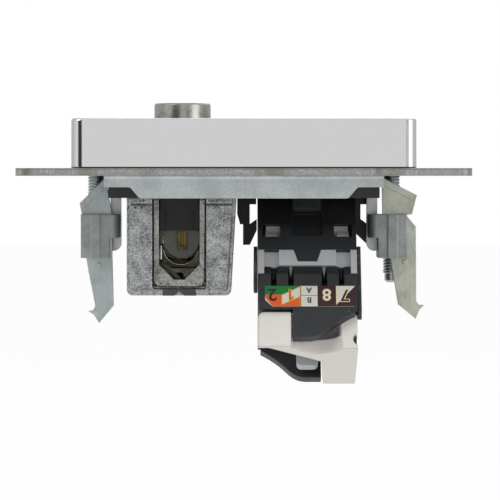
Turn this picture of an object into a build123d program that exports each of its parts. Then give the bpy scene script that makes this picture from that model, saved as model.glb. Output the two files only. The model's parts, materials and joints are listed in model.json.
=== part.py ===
"""Flush wall socket insert with a TV outlet and an RJ45 data outlet.

Millimetres. The wall lies in the plane z = 0, which is the back of the support
plate. +Z points into the room, +X to the right in the view from above the
socket, and -Y is the side that faces up on the wall. The origin is the centre
of the plate's back.
"""
import os
from math import cos, radians, sin, tan

from build123d import *

# Support plate
PLATE_SIDE = 71.4
PLATE_THICKNESS = 1.2
PLATE_CORNER = 2.0
OPENING_X = 45.0
OPENING_Y = 41.6
BEND_RADIUS = 0.6
COLLAR_SHORT = 1.85
COLLAR_DEEP = 3.65
COLLAR_DEEP_WIDTH = 33.6
COLLAR_SLOPE = 1.5
COLLAR_ROUND = 0.7
BOX_SCREW_PITCH = 60.0
BOX_SLOT_LENGTH = 7.0
BOX_SLOT_WIDTH = 3.6
TAB_LENGTH = 3.6

# Cover
COVER_SIDE = 55.0
COVER_HEIGHT = 7.88
COVER_WALL = 1.3
COVER_DRAFT = 0.2
COVER_CORNER = 1.8
COVER_EDGE = 0.4
COVER_GAP = 0.05
COVER_PORT_WIDTH = 14.6
COVER_PORT_LENGTH = 15.6
COVER_PORT_CORNER = 1.0

# Between neighbouring pieces
PART_GAP = 0.1
BORE_EXTRA = 1.0

# Places of the two outlets
OUTLET_PITCH = 20.7
TV_X = -OUTLET_PITCH / 2
DATA_X = OUTLET_PITCH / 2
DATA_TILT = 28.0

# Claw drive, drawn for the right side and mirrored for the left
CLAW_PITCH = 49.8
SCREW_DIAMETER = 3.0
SCREW_LENGTH = 18.0
SCREW_TIP_DIAMETER = 2.3
SCREW_TIP_LENGTH = 1.6
SCREW_HEAD_DIAMETER = 3.8
SCREW_HEAD_HEIGHT = 2.0
SCREW_HEAD_ROUND = 0.5
SCREW_HEAD_GAP = 0.05
SCREW_HEAD_CLEARANCE = 0.12
SCREW_SLOT_WIDTH = 0.8
SCREW_SLOT_DEPTH = 1.0
SCREW_HOLE_CLEARANCE = 0.3
THREAD_CLEARANCE = 0.05
PIVOT_INSET = 2.0
PIVOT_DROP = 0.8
CLAW_SHEET = 1.1
CLAW_ROOF_SLOPE = 27.0
CLAW_ROOF_LENGTH = 6.6
CLAW_LEFT_ROOF_SLOPE = 34.0
CLAW_LEFT_ROOF_LENGTH = 6.0
CLAW_ROOF_HALF_DEPTH = 3.2
CLAW_ROOF_PROUD = 0.3
CLAW_FORK_HALF_GAP = 1.9
CLAW_FORK_LENGTH = 5.4
CLAW_LENGTH = 23.25
CLAW_DIMPLE_RADIUS = 0.42
CLAW_DIMPLE_HEIGHT = 0.18
CLAW_DIMPLE_INSET = 0.3
CLAW_DIMPLE_DROP = 0.7
CLAW_PIVOT_LAP = 0.35
BLADE_FLARE = 0.9
BLADE_NICK = 0.1
BLADE_REACH = 1.65
BLADE_SHOULDER = 2.05
BLADE_INSET = 0.75
BLADE_NECK_INSET = 0.65
BLADE_NECK_RISE = 4.5
BLADE_TAPER_INSET = 2.15
BLADE_TAPER_DROP = 0.3
BARB_FOOT = 2.95
BARB_NECK_REACH = 0.45
BARB_NECK = 2.35
BARB_REACH = 1.3
BARB_HEIGHT = 2.3
BARB_BACK_REACH = 0.5
BARB_BACK = 1.5
POINT_WIDTH = 3.05
POINT_HEIGHT = 2.4
CLAW_LEFT_HANG = 11.0
BLOCK_WIDTH = 4.8
BLOCK_HEIGHT = 7.3
BLOCK_TOP = 6.5
BLOCK_FRONT_WALL = 1.0
BLOCK_REAR = 3.2
BLOCK_FACE_RIB = 0.35
BLOCK_SLOT_CLEARANCE = 0.2
EAR_REACH = 1.7
EAR_WALL = 0.7
EAR_HEIGHT = 3.9
EAR_ROUND = 1.3
LEG_WIDTH = 1.8
LEG_LENGTH = 12.7
LEG_ROUND = 1.3
LEG_INSET = 4.2
LEG_CLEARANCE = 0.15

# Carrier
CARRIER_CLEARANCE = 0.2
CARRIER_SIDE_CLEARANCE = 0.6
CARRIER_DROP = 3.6
CARRIER_FLANGE_SIDE = 51.2
CARRIER_FLANGE_TOP = 3.0
CARRIER_RIM_WALL = 1.2
CARRIER_RIM_GAP = 0.07
CLAW_POCKET_X = 20.5
CLAW_POCKET_HALF_Y = 6.0
HEAD_POCKET_CLEARANCE = 0.6
SLEEVE_WALL = 1.2
SLEEVE_CLEARANCE = 0.2
ARM_Y = 3.5
ARM_DEPTH = 3.0
ARM_SHIFT = 0.7
ARM_OUTER = 11.2
ARM_BAR = 1.15
ARM_LENGTH = 11.8
ARM_FOOT = 9.3
ARM_WINDOW_WIDTH = 1.25
ARM_WINDOW_TOP = 4.9
ARM_WINDOW_BOTTOM = 8.3
ARM_WINDOW_SLOPE = 0.9
SHOULDER_WIDTH = 1.9
SHOULDER_DROP = 8.3
SHOULDER_ROUND_WIDTH = 0.5
SHOULDER_ROUND_HEIGHT = 1.8

# TV outlet
TV_BARREL_DIAMETER = 9.5
TV_BARREL_WALL = 0.6
TV_BARREL_STANDING = 3.0
TV_BARREL_CHAMFER = 0.25
TV_BARREL_FLANGE_REACH = 1.55
TV_BARREL_FLANGE_THICKNESS = 0.9
TV_HOLE_CLEARANCE = 0.25
TV_PLUG_ROOM = 1.15
TV_PIN_DIAMETER = 2.3
TV_PIN_RECESS = 0.6
TV_PIN_ROUND = 0.8
TV_INSULATOR_TOP = 2.0
TV_WIDTH = 18.2
TV_FRONT = 9.0
TV_REAR = 8.5
TV_BOTTOM = 19.9
TV_RIGHT_DRAFT = 0.9
TV_WALL = 1.2
TV_BASE_STEP = 0.8
TV_SIDE_BEVEL = 0.6
TV_CORNER = 1.0
TV_RAIL = 0.9
TV_LINE = 0.3
TV_LINE_DEPTH = 0.5
FLAP_OFFSET = -0.35
FLAP_WIDTH = 8.7
FLAP_RIM = 0.95
FLAP_SILL = 1.3
FLAP_THICKNESS = 1.5
FLAP_BOTTOM = 18.5
FLAP_TOP = 4.0
FLAP_CORNER = 1.3
FLAP_EDGE = 0.5
FLAP_RECESS_CORNER = 0.5
FLAP_SIDE_GAP = 0.15
FLAP_BACK_GAP = 0.1
FLAP_WINDOW_CHAMFER = 2.5
FLAP_PIN_DIAMETER = 1.0
FLAP_PIN_CLEARANCE = 0.05
FLAP_PIN_RISE = 0.65
FLAP_PIN_BITE = 1.0
CABLE_POCKET_DEPTH = 6.5
INSULATOR_Z = -10.85
INSULATOR_DIAMETER = 6.1
INSULATOR_PROUD = 0.7
INSULATOR_REAR = 1.5
CORE_WIDTH = 1.5
CORE_TOP = -8.3
CORE_BOTTOM = -12.4
CORE_PROUD = 1.2
CORE_SLOT_WIDTH = 0.5
CORE_SLOT_DEPTH = 1.0
CORE_SLOT_SILL = 0.6
SLIDE_BOTTOM = -9.15
SLIDE_WINDOW_WIDTH = 5.0
SLIDE_WINDOW_TOP = -5.65
SLIDE_WINDOW_DEPTH = 1.1
BRAID_CLAMP_Z = -15.4
BRAID_CLAMP_SHEET = 0.7
BRAID_SCREW_DIAMETER = 1.5
BRAID_SCREW_TIP = 1.1
BRAID_SCREW_POINT = 0.25
CLIP_WIDTH = 5.5
CLIP_DEPTH = 0.8
CLIP_NOTCH_WIDTH = 1.7
CLIP_NOTCH_HEIGHT = 0.8
TV_CAVITY_FRONT = -1.2
TV_BOARD_Y = 3.5
TV_BOARD_THICKNESS = 1.6
TV_BOARD_TOP = -6.0
HOUSING_SCREW_DIAMETER = 2.0
HOUSING_SCREW_HEAD = 3.4
HOUSING_SCREW_HEAD_HEIGHT = 1.2
HOUSING_SCREW_LENGTH = 5.6
HOUSING_SCREW_SLOT_WIDTH = 0.5
HOUSING_SCREW_SLOT_DEPTH = 0.5
HOUSING_SCREW_INSET = 4.55
HOUSING_SCREW_SEAT = 2.0
HOUSING_SCREW_Y = 7.0

# Data outlet, drawn upright with its port up, then leaned over
MODULE_WIDTH = 16.1
MODULE_DEPTH = 16.2
PORT_FACE = 4.0
PORT_WALL = 1.8
HOLDER_BOTTOM = -18.0
HOLDER_WALL = 1.2
HOLDER_STEP = -13.2
HOLDER_STEP_DEPTH = 0.5
HOLDER_RECESS_DEPTH = 0.9
HOLDER_TONGUE_WIDTH = 5.0
HOLDER_TONGUE_END = -11.0
HOLDER_RECESS_END = -15.3
WINDOW_INNER = 4.4
WINDOW_OUTER = 7.3
WINDOW_TOP = -13.1
WINDOW_BOTTOM = -15.6
HOOK_INSET = 0.25
HOOK_SIDE_INSET = 0.45
HOOK_HEIGHT = 1.35
HOOK_PROUD = 0.8
TONGUE_TOP_WIDTH = 4.3
TONGUE_END_WIDTH = 2.9
TONGUE_END = -20.0
TONGUE_THICKNESS = 0.9
BODY_BOTTOM = -20.75
BODY_HORN_WIDTH = 1.0
BODY_HORN_END = -22.25
BODY_RECESS_INNER = 4.65
BODY_RECESS_DEPTH = 0.9
PORT_WIDTH = 11.9
PORT_HALF_HEIGHT = 4.1
PORT_LATCH_WIDTH = 6.4
PORT_LATCH_DEPTH = 1.6
PORT_DEPTH = 13.9
CONTACT_COUNT = 8
CONTACT_PITCH = 1.02
CONTACT_WIDTH = 0.45
CONTACT_THICKNESS = 0.35
CONTACT_RISE = 2.2
CONTACT_FOLD = -0.6
CONTACT_END = -7.0
BOARD_WIDTH = 12.0
BOARD_THICKNESS = 1.6
BOARD_TOP = -12.6
BOARD_BOTTOM = -20.6
TOWER_WIDTH = 13.2
TOWER_INNER = 3.0
TOWER_OUTER = 5.8
TOWER_END = -26.0
WIRE_SLOT_INNER = 2.7
WIRE_SLOT_OUTER = 5.5
WIRE_SLOT_WIDTH = 0.92
WIRE_SLOT_END = -24.5
IDC_WIDTH = 1.5
IDC_THICKNESS = 0.4
IDC_V = 4.4
IDC_TOP = -19.0
IDC_END = -25.6
IDC_SLIT = 0.3
IDC_SLIT_TOP = -22.4
CAP_BEVEL_HEIGHT = 1.5
CAP_BEVEL_DEPTH = 0.45
CAP_SIDE_WALL = 1.15
CAP_FRONT_WALL = 1.85
CAP_RIM = -28.6
SKIRT_END = -33.6
SKIRT_REAR_EXTRA = 0.85
SKIRT_EDGE = -2.4
SKIRT_FLAT_END = 0.0
SKIRT_SHOULDER = 7.6
SKIRT_SHOULDER_END = -29.2
SKIRT_REAR_SHOULDER_EXTRA = 0.4
SKIRT_BEND_SHARE = 0.52
SKIRT_BEND_RISE_SHARE = 0.46
SKIRT_SLOPE = 0.55
SKIRT_LAP = 0.5
LOCK_END = -34.75
LOCK_LOW_LOBE_END = -35.3
LOCK_LOW_LOBE_SLOPE_DEPTH = 1.05
LOCK_GAP = 0.12
LOCK_SADDLE_TOP = -32.4
LOCK_SADDLE_LEFT = -2.3
LOCK_SADDLE_RIGHT = 5.3
LOCK_SADDLE_REAR = 6.0
LOCK_SCOOP_RADIUS = 4.58
LOCK_SCOOP_U = 1.8
LOCK_SCOOP_V = -8.62
LOCK_SCOOP_W = -34.0
LOCK_BACK = -6.3
LOCK_KNEE_U = 2.3
LOCK_KNEE_V = -0.9
LOCK_LOBE_U = 2.7
LOCK_NOTCH_RADIUS = 1.4
LOCK_NOTCH_DEPTH = 0.75
LOCK_NOTCH_W = -33.0
LOCK_EDGE = 0.5
LOCK_ROUND = 1.3
ORGANISER_TOP = -26.1
ORGANISER_THICKNESS = 1.5
ORGANISER_HOLE = 3.0
ORGANISER_HOLE_V = -1.8
PILL_LEFT = -1.7
PILL_RIGHT = 1.9
PILL_FRONT = 3.2
PILL_REAR = 5.0
PILL_END = -33.6
PILL_ROUND = 0.85
SHIELD_THICKNESS = 0.6
SHIELD_HALF_DEPTH = 7.0
SHIELD_TOP = -16.4
SHIELD_LEFT_END = -25.4
SHIELD_RIGHT_END = -30.2
SHIELD_ROUND = 1.2
LABEL_LEFT = -6.93
LABEL_RIGHT = 7.68
LABEL_TOP = -24.6
LABEL_BOTTOM = -28.25
LABEL_CORNER = 1.2
LABEL_THICKNESS = 0.12

# Worked out from the sizes above
COVER_BASE = PLATE_THICKNESS + COVER_GAP
COVER_TOP = COVER_BASE + COVER_HEIGHT
COVER_CEILING = COVER_TOP - COVER_WALL
SCREW_X = CLAW_PITCH / 2
PIVOT_X = SCREW_X - PIVOT_INSET
BLADE_BACK = -CLAW_ROOF_HALF_DEPTH + CLAW_SHEET
LEG_X = SCREW_X - LEG_INSET
BLOCK_INNER = SCREW_X - BLOCK_WIDTH / 2
BLOCK_OUTER = SCREW_X + BLOCK_WIDTH / 2
CARRIER_HALF_X = OPENING_X / 2 - CARRIER_SIDE_CLEARANCE
CARRIER_HALF_Y = OPENING_Y / 2 - CARRIER_CLEARANCE
TV_TOP = -CARRIER_DROP - COVER_GAP
TV_LEFT = TV_X - TV_WIDTH / 2
TV_RIGHT = TV_X + TV_WIDTH / 2
TV_CAVITY_RIGHT = TV_RIGHT - TV_RIGHT_DRAFT - TV_WALL
TV_BARREL_RADIUS = TV_BARREL_DIAMETER / 2
TV_BORE_RADIUS = TV_BARREL_RADIUS - TV_BARREL_WALL
TV_FLANGE_RADIUS = TV_BARREL_RADIUS + TV_BARREL_FLANGE_REACH
TV_OPENING_RADIUS = TV_BARREL_RADIUS + TV_PLUG_ROOM
FLAP_X = TV_X + FLAP_OFFSET
FLAP_LEFT = FLAP_X - FLAP_WIDTH / 2
FLAP_RIGHT = FLAP_X + FLAP_WIDTH / 2
FLAP_BACK = -TV_FRONT + FLAP_THICKNESS
FLAP_AXIS_Y = -TV_FRONT + FLAP_THICKNESS / 2
FLAP_AXIS_Z = -FLAP_BOTTOM + FLAP_PIN_RISE
POCKET_LEFT = FLAP_LEFT + FLAP_RIM
POCKET_RIGHT = FLAP_RIGHT - FLAP_RIM
POCKET_FLOOR = -TV_FRONT + CABLE_POCKET_DEPTH
CORE_FRONT = POCKET_FLOOR - INSULATOR_PROUD - CORE_PROUD
MODULE_U = MODULE_WIDTH / 2
MODULE_V = MODULE_DEPTH / 2
BODY_U = MODULE_U - HOLDER_WALL - PART_GAP
BODY_V = MODULE_V - HOLDER_WALL - PART_GAP
BODY_TOP = PORT_FACE - PORT_WALL
CAP_TOP = BODY_BOTTOM - PART_GAP
CAP_CORNER_TOP = BODY_HORN_END - PART_GAP
CAP_U = MODULE_U - CAP_SIDE_WALL
CAP_V = MODULE_V - CAP_FRONT_WALL
WIRE_SLOTS = (WIRE_SLOT_INNER, WIRE_SLOT_OUTER)


def block(x0, x1, y0, y1, z0, z1):
    """Give the block between two corners."""
    middle = Pos((x0 + x1) / 2, (y0 + y1) / 2, (z0 + z1) / 2)
    return middle * Box(abs(x1 - x0), abs(y1 - y0), abs(z1 - z0))


def rod(radius, x, y, z0, z1):
    """Give an upright rod."""
    return Pos(x, y, (z0 + z1) / 2) * Cylinder(radius, abs(z1 - z0))


def rod_along_x(radius, y, z, x0, x1):
    """Give a rod along X."""
    return Pos((x0 + x1) / 2, y, z) * Rot(0, 90, 0) * Cylinder(radius, abs(x1 - x0))


def rod_along_y(radius, x, z, y0, y1):
    """Give a rod along Y."""
    return Pos(x, (y0 + y1) / 2, z) * Rot(90, 0, 0) * Cylinder(radius, abs(y1 - y0))


def front_face(*points):
    """Give a face whose outline is drawn in the front view, as (x, z)."""
    return Plane.XZ * make_face(Polyline(*points, close=True))


def front_plate(face, y0, y1):
    """Thicken a front-view face from y0 to y1."""
    return Pos(0, max(y0, y1), 0) * extrude(face, amount=abs(y1 - y0))


def side_plate(points, x0, x1):
    """Thicken an outline of the side view, as (y, z), from x0 to x1."""
    face = Plane.YZ * make_face(Polyline(*points, close=True))
    return Pos(min(x0, x1), 0, 0) * extrude(face, amount=abs(x1 - x0))


def top_plate(points, z0, z1):
    """Thicken an outline of the top view, as (x, y), from z0 to z1."""
    face = make_face(Polyline(*points, close=True))
    return Pos(0, 0, min(z0, z1)) * extrude(face, amount=abs(z1 - z0))


def edges_near(shape, axis, places, reach=0.02):
    """Pick the edges along an axis whose middles lie near the given places."""
    picked = []
    for edge in shape.edges().filter_by(axis):
        middle = edge.center()
        for place in places:
            gaps = [abs(a - b) for a, b in zip(tuple(middle), place) if b is not None]
            if max(gaps) < reach:
                picked.append(edge)
                break
    return picked


def half_turn(shape):
    """Turn a shape by half a turn about the upright axis."""
    return Rot(0, 0, 180) * shape


def to_left(shape):
    """Mirror a shape of the right side to the left side."""
    return mirror(shape, about=Plane.YZ)


def lean(shape):
    """Lean a piece of the data outlet over, and move it to its place."""
    return Pos(DATA_X, 0, 0) * Rot(-DATA_TILT, 0, 0) * shape


def leaned_group(shapes):
    """Lean equal pieces one by one, and give them as one group."""
    return Compound(children=[lean(shape) for shape in shapes])


def folded_strip(x0, x1, edge, drop, z_top=PLATE_THICKNESS):
    """Give a strip of plate folded down at y = edge, with its bend.

    The strip hangs between edge - thickness and edge, and its bend joins the
    plate on the side of smaller y.
    """
    outer = BEND_RADIUS + PLATE_THICKNESS
    centre_y = edge - outer
    centre_z = z_top - outer
    bend = rod_along_x(outer, centre_y, centre_z, x0, x1)
    bend -= rod_along_x(BEND_RADIUS, centre_y, centre_z, x0 - 1, x1 + 1)
    bend &= block(x0, x1, centre_y, edge, centre_z, z_top)
    return bend + block(x0, x1, edge - PLATE_THICKNESS, edge, -drop, centre_z)


def collar_outline():
    """Give the collar's outline in the front view, with its S-shaped shoulders."""
    half = OPENING_X / 2
    deep = COLLAR_DEEP_WIDTH / 2
    points = [
        (-half, PLATE_THICKNESS), (-half, -COLLAR_SHORT), (-deep - COLLAR_SLOPE, -COLLAR_SHORT),
        (-deep, -COLLAR_DEEP), (deep, -COLLAR_DEEP), (deep + COLLAR_SLOPE, -COLLAR_SHORT),
        (half, -COLLAR_SHORT), (half, PLATE_THICKNESS),
    ]
    return front_face(*points)


def collar():
    """Give the folded collar along the edge of the opening nearest the viewer."""
    edge = -OPENING_Y / 2
    half = OPENING_X / 2
    deep = COLLAR_DEEP_WIDTH / 2
    strip = folded_strip(-half, half, edge, COLLAR_DEEP)
    reach = BEND_RADIUS + PLATE_THICKNESS
    mask = front_plate(collar_outline(), edge - 2 * reach, edge + reach)
    shoulders = [(side * x, None, z) for side in (-1, 1)
                 for x, z in ((deep, -COLLAR_DEEP), (deep + COLLAR_SLOPE, -COLLAR_SHORT))]
    mask = fillet(edges_near(mask, Axis.Y, shoulders), COLLAR_ROUND)
    return strip & mask


def guide_leg():
    """Give the right guide leg, folded down from a tab of the plate."""
    edge = PLATE_THICKNESS / 2
    leg = Rot(0, 0, 180) * folded_strip(-LEG_X - LEG_WIDTH, -LEG_X, edge, LEG_LENGTH)
    corner = edges_near(leg, Axis.Y, [(LEG_X, None, -LEG_LENGTH)])
    return fillet(corner, LEG_ROUND)


def support_plate():
    """Build the plate with its opening, slots, collar and guide legs."""
    reach = BEND_RADIUS + PLATE_THICKNESS
    plate = extrude(RectangleRounded(PLATE_SIDE, PLATE_SIDE, PLATE_CORNER), PLATE_THICKNESS)
    opening_y = OPENING_Y / 2 + reach
    opening = block(-OPENING_X / 2, OPENING_X / 2, -opening_y, opening_y, -1, PLATE_THICKNESS + 1)
    tab_y0 = PLATE_THICKNESS / 2 + BEND_RADIUS
    tab_y1 = tab_y0 + TAB_LENGTH
    tab = block(LEG_X, OPENING_X / 2, tab_y0, tab_y1, -1, PLATE_THICKNESS + 1)
    plate -= opening - tab - to_left(tab)
    slot = Rot(0, 0, 90) * SlotOverall(BOX_SLOT_LENGTH, BOX_SLOT_WIDTH)
    hole = SCREW_DIAMETER / 2 + SCREW_HOLE_CLEARANCE
    for side in (-1, 1):
        box_place = side * BOX_SCREW_PITCH / 2
        plate -= Pos(0, box_place, -1) * extrude(slot, PLATE_THICKNESS + 2)
        plate -= rod(BOX_SLOT_WIDTH / 2, box_place, 0, -1, PLATE_THICKNESS + 1)
        plate -= rod(hole, side * SCREW_X, 0, -1, PLATE_THICKNESS + 1)
    plate += collar()
    plate += half_turn(collar())
    leg = guide_leg()
    return plate + leg + to_left(leg)


def chrome_cover():
    """Build the cover shell with its two openings."""
    lean_in = COVER_HEIGHT * tan(radians(COVER_DRAFT))
    outer = extrude(RectangleRounded(COVER_SIDE, COVER_SIDE, COVER_CORNER), COVER_HEIGHT,
                    taper=COVER_DRAFT)
    top_edges = outer.edges().group_by(Axis.Z)[-1]
    outer = fillet(top_edges, COVER_EDGE)
    side = COVER_SIDE - 2 * lean_in - 2 * COVER_WALL
    inner = extrude(RectangleRounded(side, side, COVER_CORNER / 2), COVER_HEIGHT - COVER_WALL)
    shell = Pos(0, 0, COVER_BASE) * (outer - inner)
    shell -= rod(TV_OPENING_RADIUS, TV_X, 0, COVER_BASE, COVER_TOP + 1)
    window = extrude(RectangleRounded(COVER_PORT_WIDTH, COVER_PORT_LENGTH, COVER_PORT_CORNER),
                     COVER_WALL + 2)
    middle_y = COVER_TOP * tan(radians(DATA_TILT))
    shell -= Pos(DATA_X, middle_y, COVER_CEILING - 1) * window
    head = SCREW_HEAD_DIAMETER / 2 + SCREW_HEAD_CLEARANCE
    head_top = PLATE_THICKNESS + SCREW_HEAD_GAP + SCREW_HEAD_HEIGHT + SCREW_HEAD_CLEARANCE
    for side in (-1, 1):
        shell -= rod(head, side * SCREW_X, 0, 0, head_top)
    return shell


def module_prism(grow, w0, w1):
    """Give the data outlet's square section, grown and leaned, between two heights."""
    u = MODULE_U + grow
    v = MODULE_V + grow
    return lean(block(-u, u, -v, v, w0, w1))


def carrier_arm(side):
    """Give one windowed arm beside the data outlet."""
    inner = MODULE_U + PART_GAP
    outer = ARM_OUTER + side * ARM_SHIFT
    top = -CARRIER_DROP
    bar = outer - ARM_BAR
    foot = -ARM_LENGTH
    outline = [(inner, top), (outer, top), (outer, foot), (bar, foot), (inner, -ARM_FOOT)]
    window_in = bar - ARM_WINDOW_WIDTH
    window = [
        (window_in, -ARM_WINDOW_TOP), (bar, -ARM_WINDOW_TOP), (bar, -ARM_WINDOW_BOTTOM),
        (window_in, -ARM_WINDOW_BOTTOM + ARM_WINDOW_SLOPE),
    ]
    arm = front_plate(front_face(*[(DATA_X + side * x, z) for x, z in outline]),
                      ARM_Y, ARM_Y + ARM_DEPTH)
    hole = front_plate(front_face(*[(DATA_X + side * x, z) for x, z in window]),
                       ARM_Y - 1, ARM_Y + ARM_DEPTH + 1)
    return arm - hole


def carrier_shoulder():
    """Give the small rounded shoulder between the TV box and the left arm."""
    near = TV_RIGHT + PART_GAP
    far = near + SHOULDER_WIDTH
    outline = front_face((near, -CARRIER_DROP), (far, -CARRIER_DROP), (far, -SHOULDER_DROP),
                         (near + SHOULDER_ROUND_WIDTH, -SHOULDER_DROP),
                         (near, -SHOULDER_DROP + SHOULDER_ROUND_HEIGHT))
    return front_plate(outline, ARM_Y, ARM_Y + ARM_DEPTH)


def carrier():
    """Build the black insert: block, flange, rim, sleeve and arms."""
    half_x = CARRIER_HALF_X
    half_y = CARRIER_HALF_Y
    flange = CARRIER_FLANGE_SIDE / 2
    body = block(-half_x, half_x, -half_y, half_y, -CARRIER_DROP, PLATE_THICKNESS)
    rim_height = COVER_CEILING - CARRIER_RIM_GAP - PLATE_THICKNESS
    square = RectangleRounded(CARRIER_FLANGE_SIDE, CARRIER_FLANGE_SIDE, COVER_CORNER)
    upper = Pos(0, 0, PLATE_THICKNESS) * extrude(square, rim_height)
    inside = flange - CARRIER_RIM_WALL
    upper -= block(-inside, inside, -inside, inside, CARRIER_FLANGE_TOP, COVER_TOP)
    body += upper
    sleeve = module_prism(SLEEVE_CLEARANCE + SLEEVE_WALL, BODY_TOP - MODULE_DEPTH, PORT_FACE)
    sleeve &= block(-flange, flange, -flange, flange, -CARRIER_DROP,
                    COVER_CEILING - CARRIER_RIM_GAP)
    body += sleeve
    body += carrier_shoulder()
    for side in (-1, 1):
        body += carrier_arm(side)
    body -= module_prism(SLEEVE_CLEARANCE, HOLDER_BOTTOM, COVER_TOP * 2)
    pocket_end = half_x + 1
    pocket = block(CLAW_POCKET_X, pocket_end, -CLAW_POCKET_HALF_Y, CLAW_POCKET_HALF_Y,
                   -CARRIER_DROP - 1, PLATE_THICKNESS)
    body -= pocket + to_left(pocket)
    head = SCREW_HEAD_DIAMETER / 2 + HEAD_POCKET_CLEARANCE
    for side in (-1, 1):
        body -= rod(head, side * SCREW_X, 0, PLATE_THICKNESS - 1, COVER_TOP)
    body -= rod(TV_OPENING_RADIUS, TV_X, 0, -CARRIER_DROP - 1, COVER_TOP)
    flange_top = TV_TOP + TV_BARREL_FLANGE_THICKNESS + PART_GAP
    body -= rod(TV_FLANGE_RADIUS + TV_HOLE_CLEARANCE, TV_X, 0, -CARRIER_DROP - 1, flange_top)
    for y in (-HOUSING_SCREW_Y, HOUSING_SCREW_Y):
        x = TV_LEFT + HOUSING_SCREW_INSET
        body -= rod(HOUSING_SCREW_DIAMETER / 2 + PART_GAP, x, y, -CARRIER_DROP - 1, COVER_TOP)
        body -= rod(HOUSING_SCREW_HEAD / 2 + PART_GAP, x, y, HOUSING_SCREW_SEAT, COVER_TOP)
    return body


def claw_outline(roof_slope, roof_length):
    """Give the claw's outline in the front view, right side, hanging straight.

    The roof edge is worked out from the pivot, its slope and its length. The
    blade below it keeps its offsets from the screw and the pivot.
    """
    pivot_z = -PIVOT_DROP
    half = CLAW_SHEET / 2
    slope = radians(roof_slope)
    along = (cos(slope), -sin(slope))
    above = (sin(slope), cos(slope))
    roof_start = (PIVOT_X + half * above[0], pivot_z + half * above[1])
    roof_end = (roof_start[0] + roof_length * along[0],
                roof_start[1] + roof_length * along[1])
    tip_z = pivot_z - CLAW_LENGTH
    edge = BLOCK_OUTER + BLADE_REACH
    return [
        roof_start,
        roof_end,
        (BLOCK_OUTER + BLADE_FLARE, -BLOCK_TOP),
        (BLOCK_OUTER - BLADE_NICK, -BLOCK_TOP - BLADE_NICK),
        (edge - BLADE_NICK, -BLOCK_TOP - BLADE_SHOULDER),
        (edge, tip_z + BARB_FOOT),
        (edge + BARB_NECK_REACH, tip_z + BARB_NECK),
        (edge + BARB_REACH, tip_z + BARB_HEIGHT),
        (edge + BARB_BACK_REACH, tip_z + BARB_BACK),
        (edge - BLADE_NICK, tip_z),
        (edge - POINT_WIDTH, tip_z + POINT_HEIGHT),
        (BLOCK_INNER + BLADE_TAPER_INSET, -BLOCK_TOP - BLOCK_HEIGHT - BLADE_TAPER_DROP),
        (BLOCK_INNER + BLADE_INSET, -BLOCK_TOP),
        (BLOCK_INNER + BLADE_NECK_INSET, -BLOCK_TOP + BLADE_NECK_RISE),
        (PIVOT_X - CLAW_PIVOT_LAP, pivot_z - CLAW_PIVOT_LAP),
    ]


def claw(roof_slope, roof_length):
    """Build a claw of the right side: barbed blade and forked roof from one sheet."""
    blade = front_plate(front_face(*claw_outline(roof_slope, roof_length)),
                        -CLAW_ROOF_HALF_DEPTH, BLADE_BACK)
    half = CLAW_SHEET / 2
    depth = CLAW_ROOF_HALF_DEPTH
    front_edge = -depth - CLAW_ROOF_PROUD
    roof = block(0, roof_length, front_edge, depth, -half, half)
    roof += rod_along_y(half, 0, 0, front_edge, depth)
    gap = CLAW_FORK_HALF_GAP
    roof -= block(-1, CLAW_FORK_LENGTH, -gap, gap, -1, 1)
    roof = Pos(PIVOT_X, 0, -PIVOT_DROP) * Rot(0, roof_slope, 0) * roof
    dimple_x = BLOCK_OUTER - CLAW_DIMPLE_INSET
    dimple_z = -BLOCK_TOP - BLOCK_HEIGHT - CLAW_DIMPLE_DROP
    front = -CLAW_ROOF_HALF_DEPTH
    dimple = rod_along_y(CLAW_DIMPLE_RADIUS, dimple_x, dimple_z, front - CLAW_DIMPLE_HEIGHT, front)
    return blade + roof + dimple


def hung_left(shape):
    """Mirror the claw to the left side, where it hangs further in."""
    mirrored = to_left(shape)
    pivot = Pos(-PIVOT_X, 0, -PIVOT_DROP)
    return pivot * Rot(0, -CLAW_LEFT_HANG, 0) * pivot.inverse() * mirrored


def claw_block():
    """Build the right zinc block, which slides on the guide leg."""
    top = -BLOCK_TOP
    bottom = top - BLOCK_HEIGHT
    slot_front = -CLAW_ROOF_HALF_DEPTH - BLOCK_SLOT_CLEARANCE
    slot_back = BLADE_BACK + BLOCK_SLOT_CLEARANCE
    front = slot_front - BLOCK_FRONT_WALL
    body = block(BLOCK_INNER, BLOCK_OUTER, slot_back, BLOCK_REAR, bottom, top)
    body += block(BLOCK_INNER, BLOCK_OUTER, front, slot_front, bottom, top)
    rib_in = BLOCK_INNER + BLOCK_WIDTH / 3
    rib_out = BLOCK_OUTER - BLOCK_WIDTH / 3
    body += block(rib_in, rib_out, front - BLOCK_FACE_RIB, front, bottom, top)
    ear_in = BLOCK_INNER - EAR_REACH
    ear_bottom = top - EAR_HEIGHT
    jaw = PLATE_THICKNESS / 2 + LEG_CLEARANCE
    body += block(ear_in, BLOCK_INNER, front, slot_front, ear_bottom, top)
    body += block(ear_in, ear_in + EAR_WALL, front, -jaw, ear_bottom, top)
    body += block(ear_in, BLOCK_INNER, slot_back, -jaw, ear_bottom, top)
    body += block(ear_in, BLOCK_INNER, jaw, BLOCK_REAR, ear_bottom, top)
    body -= block(LEG_X - 1, LEG_X + LEG_WIDTH + LEG_CLEARANCE, -jaw, jaw, bottom - 1, top + 1)
    body -= rod(SCREW_DIAMETER / 2 + THREAD_CLEARANCE, SCREW_X, 0, bottom - 1, top + 1)
    round_edge = edges_near(body, Axis.Z, [(ear_in, front, None)])
    return fillet(round_edge, EAR_ROUND)


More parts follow.
